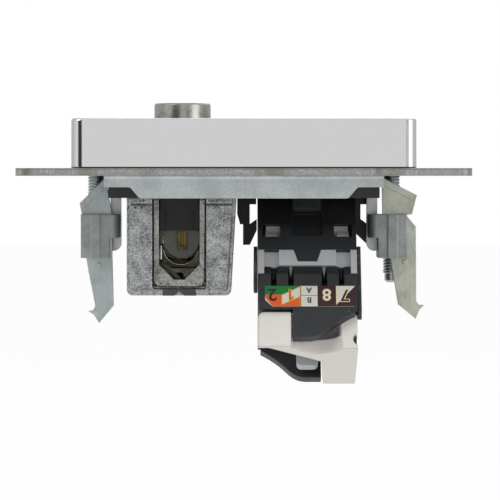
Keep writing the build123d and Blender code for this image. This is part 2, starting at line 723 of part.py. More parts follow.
def claw_screw():
    """Build the right claw screw, its head on the plate."""
    under_head = PLATE_THICKNESS + SCREW_HEAD_GAP
    head_top = under_head + SCREW_HEAD_HEIGHT
    tip_start = -SCREW_LENGTH + SCREW_TIP_LENGTH
    screw = rod(SCREW_DIAMETER / 2, SCREW_X, 0, tip_start, under_head)
    screw += rod(SCREW_TIP_DIAMETER / 2, SCREW_X, 0, -SCREW_LENGTH, tip_start)
    head = rod(SCREW_HEAD_DIAMETER / 2, SCREW_X, 0, under_head, head_top)
    head = fillet(head.edges().group_by(Axis.Z)[-1], SCREW_HEAD_ROUND)
    reach = SCREW_HEAD_DIAMETER / 2 + 1
    half = SCREW_SLOT_WIDTH / 2
    head -= block(SCREW_X - reach, SCREW_X + reach, -half, half,
                  head_top - SCREW_SLOT_DEPTH, head_top + 1)
    return screw + head


def tv_housing():
    """Build the zinc box of the TV outlet."""
    base_front = -TV_FRONT + TV_BASE_STEP
    bottom = -TV_BOTTOM
    low_right = TV_RIGHT - TV_RIGHT_DRAFT
    outline = front_face((TV_LEFT, TV_TOP), (TV_LEFT, bottom), (low_right, bottom), (TV_RIGHT, TV_TOP))
    box = front_plate(outline, base_front, TV_REAR)
    box_corners = [(TV_LEFT, None, bottom), (low_right, None, bottom)]
    box = fillet(edges_near(box, Axis.Y, box_corners), TV_CORNER)
    face_left = TV_LEFT + TV_SIDE_BEVEL
    face_right = TV_RIGHT - TV_SIDE_BEVEL
    face_bottom = bottom + TV_SIDE_BEVEL
    face_low_right = low_right - TV_SIDE_BEVEL
    face = front_face((face_left, TV_TOP), (face_left, face_bottom),
                      (face_low_right, face_bottom), (face_right, TV_TOP))
    raised = front_plate(face, -TV_FRONT, base_front)
    face_corners = [(face_left, None, face_bottom), (face_low_right, None, face_bottom)]
    raised = fillet(edges_near(raised, Axis.Y, face_corners), TV_CORNER - TV_SIDE_BEVEL / 2)
    box += raised
    line_top = TV_TOP - TV_RAIL
    box -= block(face_left - 1, face_right + 1, -TV_FRONT - 1, -TV_FRONT + TV_LINE_DEPTH,
                 line_top - TV_LINE, line_top)
    side = FLAP_SIDE_GAP
    recess_bottom = -FLAP_BOTTOM - 2 * side
    recess = block(FLAP_LEFT - side, FLAP_RIGHT + side, -TV_FRONT - 1, FLAP_BACK + FLAP_BACK_GAP,
                   recess_bottom, TV_TOP + 1)
    recess_corners = [(FLAP_LEFT - side, None, recess_bottom), (FLAP_RIGHT + side, None, recess_bottom)]
    box -= fillet(edges_near(recess, Axis.Y, recess_corners), FLAP_RECESS_CORNER)
    box -= block(POCKET_LEFT, POCKET_RIGHT, -TV_FRONT - 1, POCKET_FLOOR,
                 -FLAP_BOTTOM + FLAP_SILL, TV_TOP + 1)
    wall = TV_WALL
    box -= block(TV_LEFT + wall, TV_CAVITY_RIGHT, TV_CAVITY_FRONT, TV_REAR + 1,
                 bottom + wall, TV_TOP - wall)
    box -= rod_along_y(INSULATOR_DIAMETER / 2, TV_X, INSULATOR_Z, -TV_FRONT, TV_REAR)
    box -= rod(TV_BORE_RADIUS, TV_X, 0, TV_TOP - wall - 1, TV_TOP + 1)
    pin_radius = FLAP_PIN_DIAMETER / 2
    box -= rod_along_x(pin_radius, FLAP_AXIS_Y, FLAP_AXIS_Z, FLAP_LEFT - FLAP_PIN_BITE,
                       FLAP_RIGHT + FLAP_PIN_BITE)
    half_clip = CLIP_WIDTH / 2
    box -= block(FLAP_X - half_clip, FLAP_X + half_clip, -TV_FRONT - 1, -TV_FRONT + CLIP_DEPTH,
                 bottom - 1, -FLAP_BOTTOM)
    screw_y = (POCKET_FLOOR + FLAP_BACK) / 2
    box -= rod(BRAID_SCREW_DIAMETER / 2, FLAP_X, screw_y, bottom - 1, BRAID_CLAMP_Z)
    x = TV_LEFT + HOUSING_SCREW_INSET
    screw_end = HOUSING_SCREW_SEAT - HOUSING_SCREW_LENGTH - PART_GAP
    for y in (-HOUSING_SCREW_Y, HOUSING_SCREW_Y):
        box -= rod(HOUSING_SCREW_DIAMETER / 2, x, y, screw_end, TV_TOP + 1)
    return box


def tv_rear_lid():
    """Build the lid that closes the back of the zinc box."""
    gap = PART_GAP / 2
    wall = TV_WALL + gap
    return block(TV_LEFT + wall, TV_CAVITY_RIGHT - gap, TV_REAR - TV_WALL, TV_REAR,
                 -TV_BOTTOM + wall, TV_TOP - wall)


def tv_barrel():
    """Build the outer barrel of the TV connector, with its seating flange."""
    top = COVER_TOP + TV_BARREL_STANDING
    barrel = rod(TV_BARREL_RADIUS, TV_X, 0, TV_TOP, top)
    barrel = chamfer(barrel.edges().group_by(Axis.Z)[-1], TV_BARREL_CHAMFER)
    barrel += rod(TV_FLANGE_RADIUS, TV_X, 0, TV_TOP, TV_TOP + TV_BARREL_FLANGE_THICKNESS)
    return barrel - rod(TV_BORE_RADIUS, TV_X, 0, TV_TOP - 1, top + 1)


def tv_port_insulator():
    """Build the insulating plug that centres the pin in the barrel."""
    plug = rod(TV_BORE_RADIUS, TV_X, 0, TV_TOP - TV_WALL, TV_INSULATOR_TOP)
    return plug - rod(TV_PIN_DIAMETER / 2, TV_X, 0, TV_TOP - TV_WALL - 1, TV_INSULATOR_TOP + 1)


def tv_centre_pin():
    """Build the centre pin, down to the core clamp."""
    top = COVER_TOP + TV_BARREL_STANDING - TV_PIN_RECESS
    pin = rod(TV_PIN_DIAMETER / 2, TV_X, 0, CORE_TOP, top)
    return fillet(pin.edges().group_by(Axis.Z)[-1], TV_PIN_ROUND)


def tv_core_clamp():
    """Build the brass piece whose slotted end takes the cable's core."""
    front = CORE_FRONT
    half = CORE_WIDTH / 2
    clamp = block(TV_X - half, TV_X + half, front, TV_BOARD_Y, CORE_BOTTOM, CORE_TOP)
    slot = CORE_SLOT_WIDTH / 2
    return clamp - block(TV_X - slot, TV_X + slot, front - 1, front + CORE_SLOT_DEPTH,
                         CORE_BOTTOM + CORE_SLOT_SILL, CORE_TOP + 1)


def tv_cable_insulator():
    """Build the translucent disc round the core clamp."""
    front = POCKET_FLOOR - INSULATOR_PROUD
    disc = rod_along_y(INSULATOR_DIAMETER / 2, TV_X, INSULATOR_Z, front, INSULATOR_REAR)
    half = CORE_WIDTH / 2
    disc -= block(TV_X - half, TV_X + half, -TV_FRONT, TV_REAR, CORE_BOTTOM, CORE_TOP)
    return disc - rod(TV_PIN_DIAMETER / 2, TV_X, 0, CORE_TOP - 1, 0)


def tv_slide():
    """Build the dark insulating slide in the cable window."""
    front = FLAP_BACK + FLAP_BACK_GAP
    gap = PART_GAP
    slide = block(POCKET_LEFT + gap, POCKET_RIGHT - gap, front, CORE_FRONT - gap,
                  SLIDE_BOTTOM, TV_TOP)
    half = SLIDE_WINDOW_WIDTH / 2
    return slide - block(FLAP_X - half, FLAP_X + half, front - 1, front + SLIDE_WINDOW_DEPTH,
                         SLIDE_BOTTOM - 1, SLIDE_WINDOW_TOP)


def tv_cable_flap():
    """Build the U-shaped flap, which turns about its bottom edge."""
    inner_bottom = -FLAP_BOTTOM + FLAP_SILL
    cut = FLAP_WINDOW_CHAMFER
    outline = front_face((FLAP_LEFT, -FLAP_TOP), (FLAP_LEFT, -FLAP_BOTTOM),
                         (FLAP_RIGHT, -FLAP_BOTTOM), (FLAP_RIGHT, -FLAP_TOP))
    flap = front_plate(outline, -TV_FRONT, FLAP_BACK)
    corners = [(FLAP_LEFT, None, -FLAP_BOTTOM), (FLAP_RIGHT, None, -FLAP_BOTTOM)]
    flap = fillet(edges_near(flap, Axis.Y, corners), FLAP_CORNER)
    bottom_edges = [(FLAP_X, -TV_FRONT, -FLAP_BOTTOM), (FLAP_X, FLAP_BACK, -FLAP_BOTTOM)]
    flap = fillet(edges_near(flap, Axis.X, bottom_edges), FLAP_EDGE)
    window = front_face((POCKET_LEFT, 0), (POCKET_LEFT, inner_bottom + cut),
                        (POCKET_LEFT + cut, inner_bottom), (POCKET_RIGHT - cut, inner_bottom),
                        (POCKET_RIGHT, inner_bottom + cut), (POCKET_RIGHT, 0))
    flap -= front_plate(window, -TV_FRONT - 1, FLAP_BACK + 1)
    bore = FLAP_PIN_DIAMETER / 2 + FLAP_PIN_CLEARANCE
    return flap - rod_along_x(bore, FLAP_AXIS_Y, FLAP_AXIS_Z, FLAP_LEFT - 1, FLAP_RIGHT + 1)


def tv_flap_pin():
    """Build the flap's hinge pin."""
    return rod_along_x(FLAP_PIN_DIAMETER / 2, FLAP_AXIS_Y, FLAP_AXIS_Z,
                       FLAP_LEFT - FLAP_PIN_BITE, FLAP_RIGHT + FLAP_PIN_BITE)


def tv_latch_clip():
    """Build the dark spring clip below the flap."""
    half = CLIP_WIDTH / 2
    top = -FLAP_BOTTOM - 2 * FLAP_SIDE_GAP
    bottom = -TV_BOTTOM
    notch = CLIP_NOTCH_WIDTH / 2
    outline = front_face((FLAP_X - half, top), (FLAP_X - half, bottom), (FLAP_X - notch, bottom),
                         (FLAP_X, bottom + CLIP_NOTCH_HEIGHT), (FLAP_X + notch, bottom),
                         (FLAP_X + half, bottom), (FLAP_X + half, top))
    return front_plate(outline, -TV_FRONT, -TV_FRONT + CLIP_DEPTH)


def tv_braid_clamp():
    """Build the steel ledge across the cable window."""
    return block(POCKET_LEFT, POCKET_RIGHT, FLAP_BACK + FLAP_BACK_GAP, POCKET_FLOOR,
                 BRAID_CLAMP_Z - BRAID_CLAMP_SHEET, BRAID_CLAMP_Z)


def tv_braid_screw():
    """Build the pointed screw that drives the ledge up from below."""
    middle = (POCKET_FLOOR + FLAP_BACK) / 2
    radius = BRAID_SCREW_DIAMETER / 2
    tip_foot = BRAID_CLAMP_Z - BRAID_CLAMP_SHEET - BRAID_SCREW_TIP
    screw = rod(radius, FLAP_X, middle, -TV_BOTTOM, tip_foot)
    tip = Cone(radius, BRAID_SCREW_POINT, BRAID_SCREW_TIP)
    return screw + Pos(FLAP_X, middle, tip_foot + BRAID_SCREW_TIP / 2) * tip


def tv_board():
    """Build the small circuit board inside the zinc box."""
    left = TV_LEFT + TV_WALL + BORE_EXTRA
    return block(left, TV_CAVITY_RIGHT - BORE_EXTRA, TV_BOARD_Y, TV_BOARD_Y + TV_BOARD_THICKNESS,
                 -TV_BOTTOM + TV_WALL, TV_BOARD_TOP)


def housing_screws():
    """Build the two screws that hold the zinc box up against the carrier."""
    screws = []
    x = TV_LEFT + HOUSING_SCREW_INSET
    seat = HOUSING_SCREW_SEAT
    top = seat + HOUSING_SCREW_HEAD_HEIGHT
    half = HOUSING_SCREW_SLOT_WIDTH / 2
    for y in (-HOUSING_SCREW_Y, HOUSING_SCREW_Y):
        shank = rod(HOUSING_SCREW_DIAMETER / 2, x, y, seat - HOUSING_SCREW_LENGTH, seat)
        head = rod(HOUSING_SCREW_HEAD / 2, x, y, seat, top)
        head -= block(x - HOUSING_SCREW_HEAD, x + HOUSING_SCREW_HEAD, y - half, y + half,
                      top - HOUSING_SCREW_SLOT_DEPTH, top + 1)
        screws.append(shank + head)
    return Compound(children=screws)


def port_shape(w0, w1, grow=0.0):
    """Give the plug's way into the port, with its latch channel towards +Y."""
    half = PORT_WIDTH / 2 + grow
    latch = PORT_LATCH_WIDTH / 2 + grow
    high = PORT_HALF_HEIGHT + grow
    way = block(-half, half, -high, high, w0, w1)
    return way + block(-latch, latch, 0, high + PORT_LATCH_DEPTH, w0, w1)


def tongue_outline(grow=0.0):
    """Give the holder's tongue in its own front view."""
    top = TONGUE_TOP_WIDTH / 2 + grow
    end = TONGUE_END_WIDTH / 2 + grow
    start = HOLDER_BOTTOM + PART_GAP
    return front_face((-top, start), (-top, HOLDER_BOTTOM), (-end, TONGUE_END - grow),
                      (end, TONGUE_END - grow), (top, HOLDER_BOTTOM), (top, start))


def rj45_holder():
    """Build the dark holder round the jack."""
    front = -MODULE_V
    holder = block(-MODULE_U, MODULE_U, -MODULE_V, MODULE_V, HOLDER_BOTTOM, PORT_FACE)
    inner_u = MODULE_U - HOLDER_WALL
    inner_v = MODULE_V - HOLDER_WALL
    holder -= block(-inner_u, inner_u, -inner_v, inner_v, HOLDER_BOTTOM - 1, BODY_TOP)
    step = block(-MODULE_U - 1, MODULE_U + 1, front - 1, front + HOLDER_STEP_DEPTH,
                 HOLDER_STEP, PORT_FACE - PORT_WALL)
    half = HOLDER_TONGUE_WIDTH / 2
    step -= block(-half, half, front, front + 1, HOLDER_TONGUE_END, PORT_FACE)
    recess = block(-half, half, front - 1, front + HOLDER_RECESS_DEPTH,
                   HOLDER_RECESS_END, HOLDER_TONGUE_END)
    window = block(WINDOW_INNER, WINDOW_OUTER, front - 1, front + HOLDER_WALL + 1,
                   WINDOW_BOTTOM, WINDOW_TOP)
    cuts = step + recess + window + to_left(window)
    tongue = front_plate(tongue_outline(), front, front + TONGUE_THICKNESS)
    holder -= cuts
    holder -= half_turn(cuts)
    holder += tongue
    holder += half_turn(tongue)
    return holder - port_shape(BODY_TOP - 1, PORT_FACE + 1)


def idc_slots():
    """List the boxes that the eight wire contacts take up."""
    slots = []
    slot = block(-IDC_WIDTH / 2, IDC_WIDTH / 2, -IDC_THICKNESS / 2, IDC_THICKNESS / 2,
                 IDC_END, IDC_TOP)
    for sign_v in (-1, 1):
        for u in WIRE_SLOTS:
            for sign_u in (-1, 1):
                slots.append(Pos(sign_u * u, sign_v * IDC_V, 0) * slot)
    return slots


def rj45_body():
    """Build the light grey body: jack above, wire contacts' towers below."""
    front = -MODULE_V
    body = block(-BODY_U, BODY_U, -BODY_V, BODY_V, HOLDER_BOTTOM, BODY_TOP)
    body += block(-MODULE_U, MODULE_U, -MODULE_V, MODULE_V, BODY_BOTTOM, HOLDER_BOTTOM)
    horn_in = MODULE_U - BODY_HORN_WIDTH
    for sign in (-1, 1):
        body += block(sign * horn_in, sign * MODULE_U, -MODULE_V, MODULE_V,
                      BODY_HORN_END, BODY_BOTTOM)
        body += block(-TOWER_WIDTH / 2, TOWER_WIDTH / 2, sign * TOWER_INNER, sign * TOWER_OUTER,
                      TOWER_END, BODY_BOTTOM)
    hook_front = -BODY_V - HOOK_PROUD
    hook_bottom = WINDOW_BOTTOM + HOOK_INSET
    hook_outline = [(-BODY_V, hook_bottom + HOOK_HEIGHT),
                    (hook_front, hook_bottom + HOOK_INSET),
                    (hook_front, hook_bottom), (-BODY_V, hook_bottom)]
    hook = side_plate(hook_outline, WINDOW_INNER + HOOK_SIDE_INSET,
                      WINDOW_OUTER - HOOK_SIDE_INSET)
    hooks = hook + to_left(hook)
    body += hooks
    body += half_turn(hooks)
    recess = block(BODY_RECESS_INNER, horn_in, front - 1, front + BODY_RECESS_DEPTH,
                   BODY_BOTTOM - 1, HOLDER_BOTTOM)
    cuts = recess + to_left(recess)
    tongue_back = front + TONGUE_THICKNESS + PART_GAP
    cuts += front_plate(tongue_outline(PART_GAP), front - 1, tongue_back)
    body -= cuts
    body -= half_turn(cuts)
    body -= port_shape(BODY_TOP - PORT_DEPTH, BODY_TOP + 1)
    half = BOARD_WIDTH / 2
    body -= block(-half, half, -BOARD_THICKNESS / 2, BOARD_THICKNESS / 2,
                  BODY_BOTTOM - 1, BOARD_TOP)
    for slot in idc_slots():
        body -= slot
    half_slot = WIRE_SLOT_WIDTH / 2
    for u in WIRE_SLOTS:
        for sign in (-1, 1):
            body -= block(sign * u - half_slot, sign * u + half_slot, -MODULE_V, MODULE_V,
                          TOWER_END - 1, WIRE_SLOT_END + BORE_EXTRA)
    return body


def rj45_contacts():
    """Build the eight gold springs of the port."""
    wall = -PORT_HALF_HEIGHT
    floor = BODY_TOP - PORT_DEPTH
    thick = CONTACT_THICKNESS
    outline = [
        (wall, floor), (wall, CONTACT_FOLD), (wall + thick, CONTACT_FOLD),
        (wall + CONTACT_RISE + thick, CONTACT_END), (wall + CONTACT_RISE, CONTACT_END - thick),
        (wall + thick, CONTACT_FOLD - 2 * thick), (wall + thick, floor),
    ]
    springs = []
    for index in range(CONTACT_COUNT):
        u = (index - (CONTACT_COUNT - 1) / 2) * CONTACT_PITCH
        springs.append(side_plate(outline, u - CONTACT_WIDTH / 2, u + CONTACT_WIDTH / 2))
    return leaned_group(springs)


def rj45_board():
    """Build the circuit board inside the jack."""
    half = BOARD_WIDTH / 2
    return block(-half, half, -BOARD_THICKNESS / 2, BOARD_THICKNESS / 2, BOARD_BOTTOM, BOARD_TOP)


def idc_contacts():
    """Build the eight forked contacts that cut into the wires."""
    contacts = []
    for plate in idc_slots():
        middle = plate.center()
        half = IDC_SLIT / 2
        slit = block(middle.X - half, middle.X + half, middle.Y - 1, middle.Y + 1,
                     IDC_END - 1, IDC_SLIT_TOP)
        contacts.append(plate - slit)
    return leaned_group(contacts)


def skirt(end, shoulder_end):
    """Give the skirt nearest the viewer, with its S-shaped lower edge."""
    rise = shoulder_end - end
    bend = (SKIRT_SHOULDER * SKIRT_BEND_SHARE, end + rise * SKIRT_BEND_RISE_SHARE)
    curve = Spline((SKIRT_FLAT_END, end), bend, (SKIRT_SHOULDER, shoulder_end),
                   tangents=[(1, 0), (1, SKIRT_SLOPE)])
    top = CAP_RIM + SKIRT_LAP
    edge = Polyline((SKIRT_SHOULDER, shoulder_end), (SKIRT_SHOULDER, top), (SKIRT_EDGE, top),
                    (SKIRT_EDGE, end), (SKIRT_FLAT_END, end))
    face = Plane.XZ * make_face(Curve() + [curve, edge])
    return front_plate(face, -MODULE_V, -CAP_V)


def wire_cap():
    """Build the dark cap over the wire contacts."""
    cap = block(-MODULE_U, MODULE_U, -MODULE_V, MODULE_V, CAP_RIM, CAP_TOP)
    horn_in = MODULE_U - BODY_HORN_WIDTH - PART_GAP
    for sign in (-1, 1):
        cap -= block(sign * horn_in, sign * (MODULE_U + 1), -MODULE_V - 1, MODULE_V + 1,
                     CAP_CORNER_TOP, CAP_TOP + 1)
    bevel_foot = CAP_TOP - CAP_BEVEL_HEIGHT
    bevel_back = -MODULE_V + CAP_BEVEL_DEPTH
    bevel = side_plate([(-MODULE_V - 1, CAP_TOP + 1), (-MODULE_V - 1, bevel_foot),
                        (-MODULE_V, bevel_foot), (bevel_back, CAP_TOP),
                        (bevel_back, CAP_TOP + 1)], -horn_in, horn_in)
    cap -= bevel
    cap -= half_turn(bevel)
    cap += skirt(SKIRT_END, SKIRT_SHOULDER_END)
    cap += half_turn(skirt(SKIRT_END - SKIRT_REAR_EXTRA,
                           SKIRT_SHOULDER_END - SKIRT_REAR_SHOULDER_EXTRA))
    cap -= block(-CAP_U, CAP_U, -CAP_V, CAP_V, CAP_RIM - 1, CAP_TOP + 1)
    half = WIRE_SLOT_WIDTH / 2
    for u in WIRE_SLOTS:
        for sign in (-1, 1):
            cap -= block(sign * u - half, sign * u + half, -MODULE_V - 1, MODULE_V + 1,
                         WIRE_SLOT_END, CAP_TOP + 1)
    return cap


def wire_organiser():
    """Build the light grey insert below the wire contacts, with its tongue."""
    gap = PART_GAP / 2
    bottom = ORGANISER_TOP - ORGANISER_THICKNESS
    plate = block(-CAP_U + gap, CAP_U - gap, -CAP_V + gap, CAP_V - gap, bottom, ORGANISER_TOP)
    plate -= rod(ORGANISER_HOLE, 0, ORGANISER_HOLE_V, bottom - 1, ORGANISER_TOP + 1)
    tongue = block(PILL_LEFT, PILL_RIGHT, PILL_FRONT, PILL_REAR, PILL_END, bottom)
    ends = [(PILL_LEFT, None, PILL_END), (PILL_RIGHT, None, PILL_END)]
    tongue = fillet(edges_near(tongue, Axis.Y, ends), PILL_ROUND)
    return plate + tongue


def cable_lock():
    """Build the white clamp: two lobes joined by a saddle across the end."""
    gap = LOCK_GAP
    top = CAP_RIM - gap
    outline = [
        (-MODULE_U, -MODULE_V), (MODULE_U, -MODULE_V), (MODULE_U, MODULE_V),
        (LOCK_LOBE_U, MODULE_V), (LOCK_KNEE_U, LOCK_KNEE_V), (LOCK_BACK, LOCK_BACK),
        (-MODULE_U, LOCK_BACK),
    ]
    lock = top_plate(outline, LOCK_LOW_LOBE_END, top)
    corner = edges_near(lock, Axis.Z, [(-MODULE_U, -MODULE_V, None)])
    lock = fillet(corner, LOCK_EDGE)
    lock = fillet(edges_near(lock, Axis.Y, [(-MODULE_U, None, top)]), LOCK_ROUND)
    skirt_room = block(SKIRT_EDGE - 3 * gap, MODULE_U + 1, -MODULE_V - 1, -CAP_V + gap,
                       LOCK_LOW_LOBE_END - 1, top + 1)
    lock -= skirt_room
    lock -= half_turn(skirt_room)
    lock -= block(SKIRT_EDGE - 3 * gap, MODULE_U + 1, -MODULE_V - 1, MODULE_V + 1,
                  LOCK_LOW_LOBE_END - 1, LOCK_END)
    slope_back = -MODULE_V + LOCK_LOW_LOBE_SLOPE_DEPTH
    lock -= side_plate([(-MODULE_V, LOCK_LOW_LOBE_END - 1), (-MODULE_V, LOCK_LOW_LOBE_END),
                        (slope_back, LOCK_END), (MODULE_V + 1, LOCK_END),
                        (MODULE_V + 1, LOCK_LOW_LOBE_END - 1)], -MODULE_U - 1, MODULE_U + 1)
    lock -= block(LOCK_SADDLE_LEFT, LOCK_SADDLE_RIGHT, -MODULE_V, LOCK_SADDLE_REAR,
                  LOCK_SADDLE_TOP, top + 1)
    lock -= Pos(LOCK_SCOOP_U, LOCK_SCOOP_V, LOCK_SCOOP_W) * Sphere(LOCK_SCOOP_RADIUS)
    notch_u = MODULE_U + LOCK_NOTCH_RADIUS - LOCK_NOTCH_DEPTH
    lock -= rod_along_y(LOCK_NOTCH_RADIUS, notch_u, LOCK_NOTCH_W, -MODULE_V - 1, MODULE_V / 2)
    return lock


def shield(side, end):
    """Build one side plate of the data outlet, level at its lower edge once leaned."""
    near = MODULE_U + PART_GAP
    far = near + SHIELD_THICKNESS
    deep = SHIELD_HALF_DEPTH
    rear_end = end + 2 * deep * tan(radians(DATA_TILT))
    outline = [(-deep, SHIELD_TOP), (-deep, end), (deep, rear_end), (deep, SHIELD_TOP)]
    plate = side_plate(outline, side * near, side * far)
    corners = [(None, -deep, end), (None, -deep, SHIELD_TOP)]
    return fillet(edges_near(plate, Axis.X, corners), SHIELD_ROUND)


def label():
    """Build the label nearest the viewer, with its cut corner."""
    outline = front_face((LABEL_LEFT, LABEL_TOP), (LABEL_RIGHT, LABEL_TOP),
                         (LABEL_RIGHT, LABEL_BOTTOM), (LABEL_LEFT + LABEL_CORNER, LABEL_BOTTOM),
                         (LABEL_LEFT, LABEL_BOTTOM + LABEL_CORNER))
    return front_plate(outline, -MODULE_V - LABEL_THICKNESS, -MODULE_V)


def build_parts():
    """Build every piece, by the name of its node."""
    right_block = claw_block()
    right_screw = claw_screw()
    right_claw = claw(CLAW_ROOF_SLOPE, CLAW_ROOF_LENGTH)
    left_claw = hung_left(claw(CLAW_LEFT_ROOF_SLOPE, CLAW_LEFT_ROOF_LENGTH))
    return {
        "support_plate": support_plate(),
        "chrome_cover": chrome_cover(),
        "carrier": carrier(),
        "claw_right": right_claw,
        "claw_left": left_claw,
        "claw_block_right": right_block,
        "claw_block_left": to_left(right_block),
        "claw_screw_right": right_screw,
        "claw_screw_left": to_left(right_screw),
        "tv_housing": tv_housing(),
        "tv_rear_lid": tv_rear_lid(),
        "tv_barrel": tv_barrel(),
        "tv_port_insulator": tv_port_insulator(),
        "tv_centre_pin": tv_centre_pin(),
        "tv_core_clamp": tv_core_clamp(),
        "tv_cable_insulator": tv_cable_insulator(),
        "tv_slide": tv_slide(),
        "tv_cable_flap": tv_cable_flap(),
        "tv_flap_pin": tv_flap_pin(),
        "tv_latch_clip": tv_latch_clip(),
        "tv_braid_clamp": tv_braid_clamp(),
        "tv_braid_screw": tv_braid_screw(),
        "tv_board": tv_board(),
        "housing_screws": housing_screws(),
        "rj45_holder": lean(rj45_holder()),
        "rj45_body": lean(rj45_body()),
        "rj45_contacts": rj45_contacts(),
        "rj45_board": lean(rj45_board()),
        "idc_contacts": idc_contacts(),
        "wire_cap": lean(wire_cap()),
        "wire_organiser": lean(wire_organiser()),
        "cable_lock": lean(cable_lock()),
        "shield_left": lean(shield(-1, SHIELD_LEFT_END)),
        "shield_right": lean(shield(1, SHIELD_RIGHT_END)),
        "label_front": lean(label()),
        "label_rear": lean(half_turn(label())),
    }


os.makedirs("parts", exist_ok=True)
for node, shape in build_parts().items():
    export_step(shape, f"parts/{node}.step")
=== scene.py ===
"""Looks of a flush wall socket insert with a TV outlet and a leaning data outlet.

Sizes in this file are in millimetres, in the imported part's own frame, unless a
name ends in _m. The wall is the plane z = 0 and -Y faces the camera.
"""

import json
import logging
import math
from dataclasses import dataclass, field
from enum import Enum
from typing import Any

import bpy
import numpy as np
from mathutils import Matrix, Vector

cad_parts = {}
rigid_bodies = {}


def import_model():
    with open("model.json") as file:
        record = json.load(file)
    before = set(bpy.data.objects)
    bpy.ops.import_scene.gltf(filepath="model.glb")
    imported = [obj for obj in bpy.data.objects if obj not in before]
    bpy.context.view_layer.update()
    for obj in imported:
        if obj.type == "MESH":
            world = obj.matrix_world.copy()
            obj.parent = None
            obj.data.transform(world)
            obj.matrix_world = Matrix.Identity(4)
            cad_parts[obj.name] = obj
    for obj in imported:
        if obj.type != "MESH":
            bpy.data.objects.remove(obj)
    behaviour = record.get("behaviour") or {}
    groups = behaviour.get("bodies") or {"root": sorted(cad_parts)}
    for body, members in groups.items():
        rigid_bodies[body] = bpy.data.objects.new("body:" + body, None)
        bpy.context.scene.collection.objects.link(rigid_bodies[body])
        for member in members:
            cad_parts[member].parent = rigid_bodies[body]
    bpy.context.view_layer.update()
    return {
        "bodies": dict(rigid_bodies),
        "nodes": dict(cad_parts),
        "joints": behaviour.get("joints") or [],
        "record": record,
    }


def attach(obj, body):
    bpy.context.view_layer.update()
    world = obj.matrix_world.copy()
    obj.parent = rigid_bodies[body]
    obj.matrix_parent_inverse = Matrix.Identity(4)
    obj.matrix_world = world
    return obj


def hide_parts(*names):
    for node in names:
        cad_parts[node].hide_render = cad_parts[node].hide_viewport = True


LOG = logging.getLogger("wall_socket")
MM = 0.001
Two = tuple[float, float]
Three = tuple[float, float, float]
Four = tuple[float, float, float, float]
Colour = Three
Points = np.ndarray
Material = bpy.types.Material


def tone(red: int, green: int, blue: int) -> Colour:
    """Turn a screen colour from 0 to 255 into a linear one.

    Args:
        red: Red, as it shows on a screen.
        green: Green, as it shows on a screen.
        blue: Blue, as it shows on a screen.

    Returns:
        The linear colour.
    """
    channels = np.array([red, green, blue]) / 255
    low = channels / 12.92
    high = ((channels + 0.055) / 1.055) ** 2.4
    return tuple(float(c) for c in np.where(channels <= 0.04045, low, high))


class Wire:
    """A node's output, on which sums are written as plain expressions."""

    def __init__(self, graph: "Graph", socket: bpy.types.NodeSocket) -> None:
        """Keep the graph and the socket."""
        self.graph = graph
        self.socket = socket

    def _math(self, operation: str, *values: Any) -> "Wire":
        """Add one Math node.

        Args:
            operation: The node's operation.
            values: Its inputs, numbers or wires.

        Returns:
            The node's result.
        """
        return self.graph.out("ShaderNodeMath", {"operation": operation}, dict(enumerate(values)))

    def __add__(self, other: Any) -> "Wire":
        """Add."""
        return self._math("ADD", self, other)

    def __sub__(self, other: Any) -> "Wire":
        """Subtract."""
        return self._math("SUBTRACT", self, other)

    def __rsub__(self, other: Any) -> "Wire":
        """Subtract from a number."""
        return self._math("SUBTRACT", other, self)

    def __mul__(self, other: Any) -> "Wire":
        """Multiply."""
        return self._math("MULTIPLY", self, other)

    def __gt__(self, other: Any) -> "Wire":
        """Give 1 where this is the greater, else 0."""
        return self._math("GREATER_THAN", self, other)

    def __lt__(self, other: Any) -> "Wire":
        """Give 1 where this is the smaller, else 0."""
        return self._math("LESS_THAN", self, other)

    __radd__ = __add__
    __rmul__ = __mul__

    def apply(self, operation: str, *others: Any) -> "Wire":
        """Use another Math operation on this value, such as ABSOLUTE or MAXIMUM."""
        return self._math(operation, self, *others)

    def between(self, low: Any, high: Any) -> "Wire":
        """Give 1 between two values, else 0."""
        return (self > low) * (self < high)

    def rise(self, low: float, high: float) -> "Wire":
        """Rise smoothly from 0 at low to 1 at high.

        Args:
            low: Where the result is still 0.
            high: Where it reaches 1.

        Returns:
            The smooth step.
        """
        settings = {"interpolation_type": "SMOOTHSTEP"}
        sockets = {"Value": self, "From Min": low, "From Max": high}
        return self.graph.out("ShaderNodeMapRange", settings, sockets)


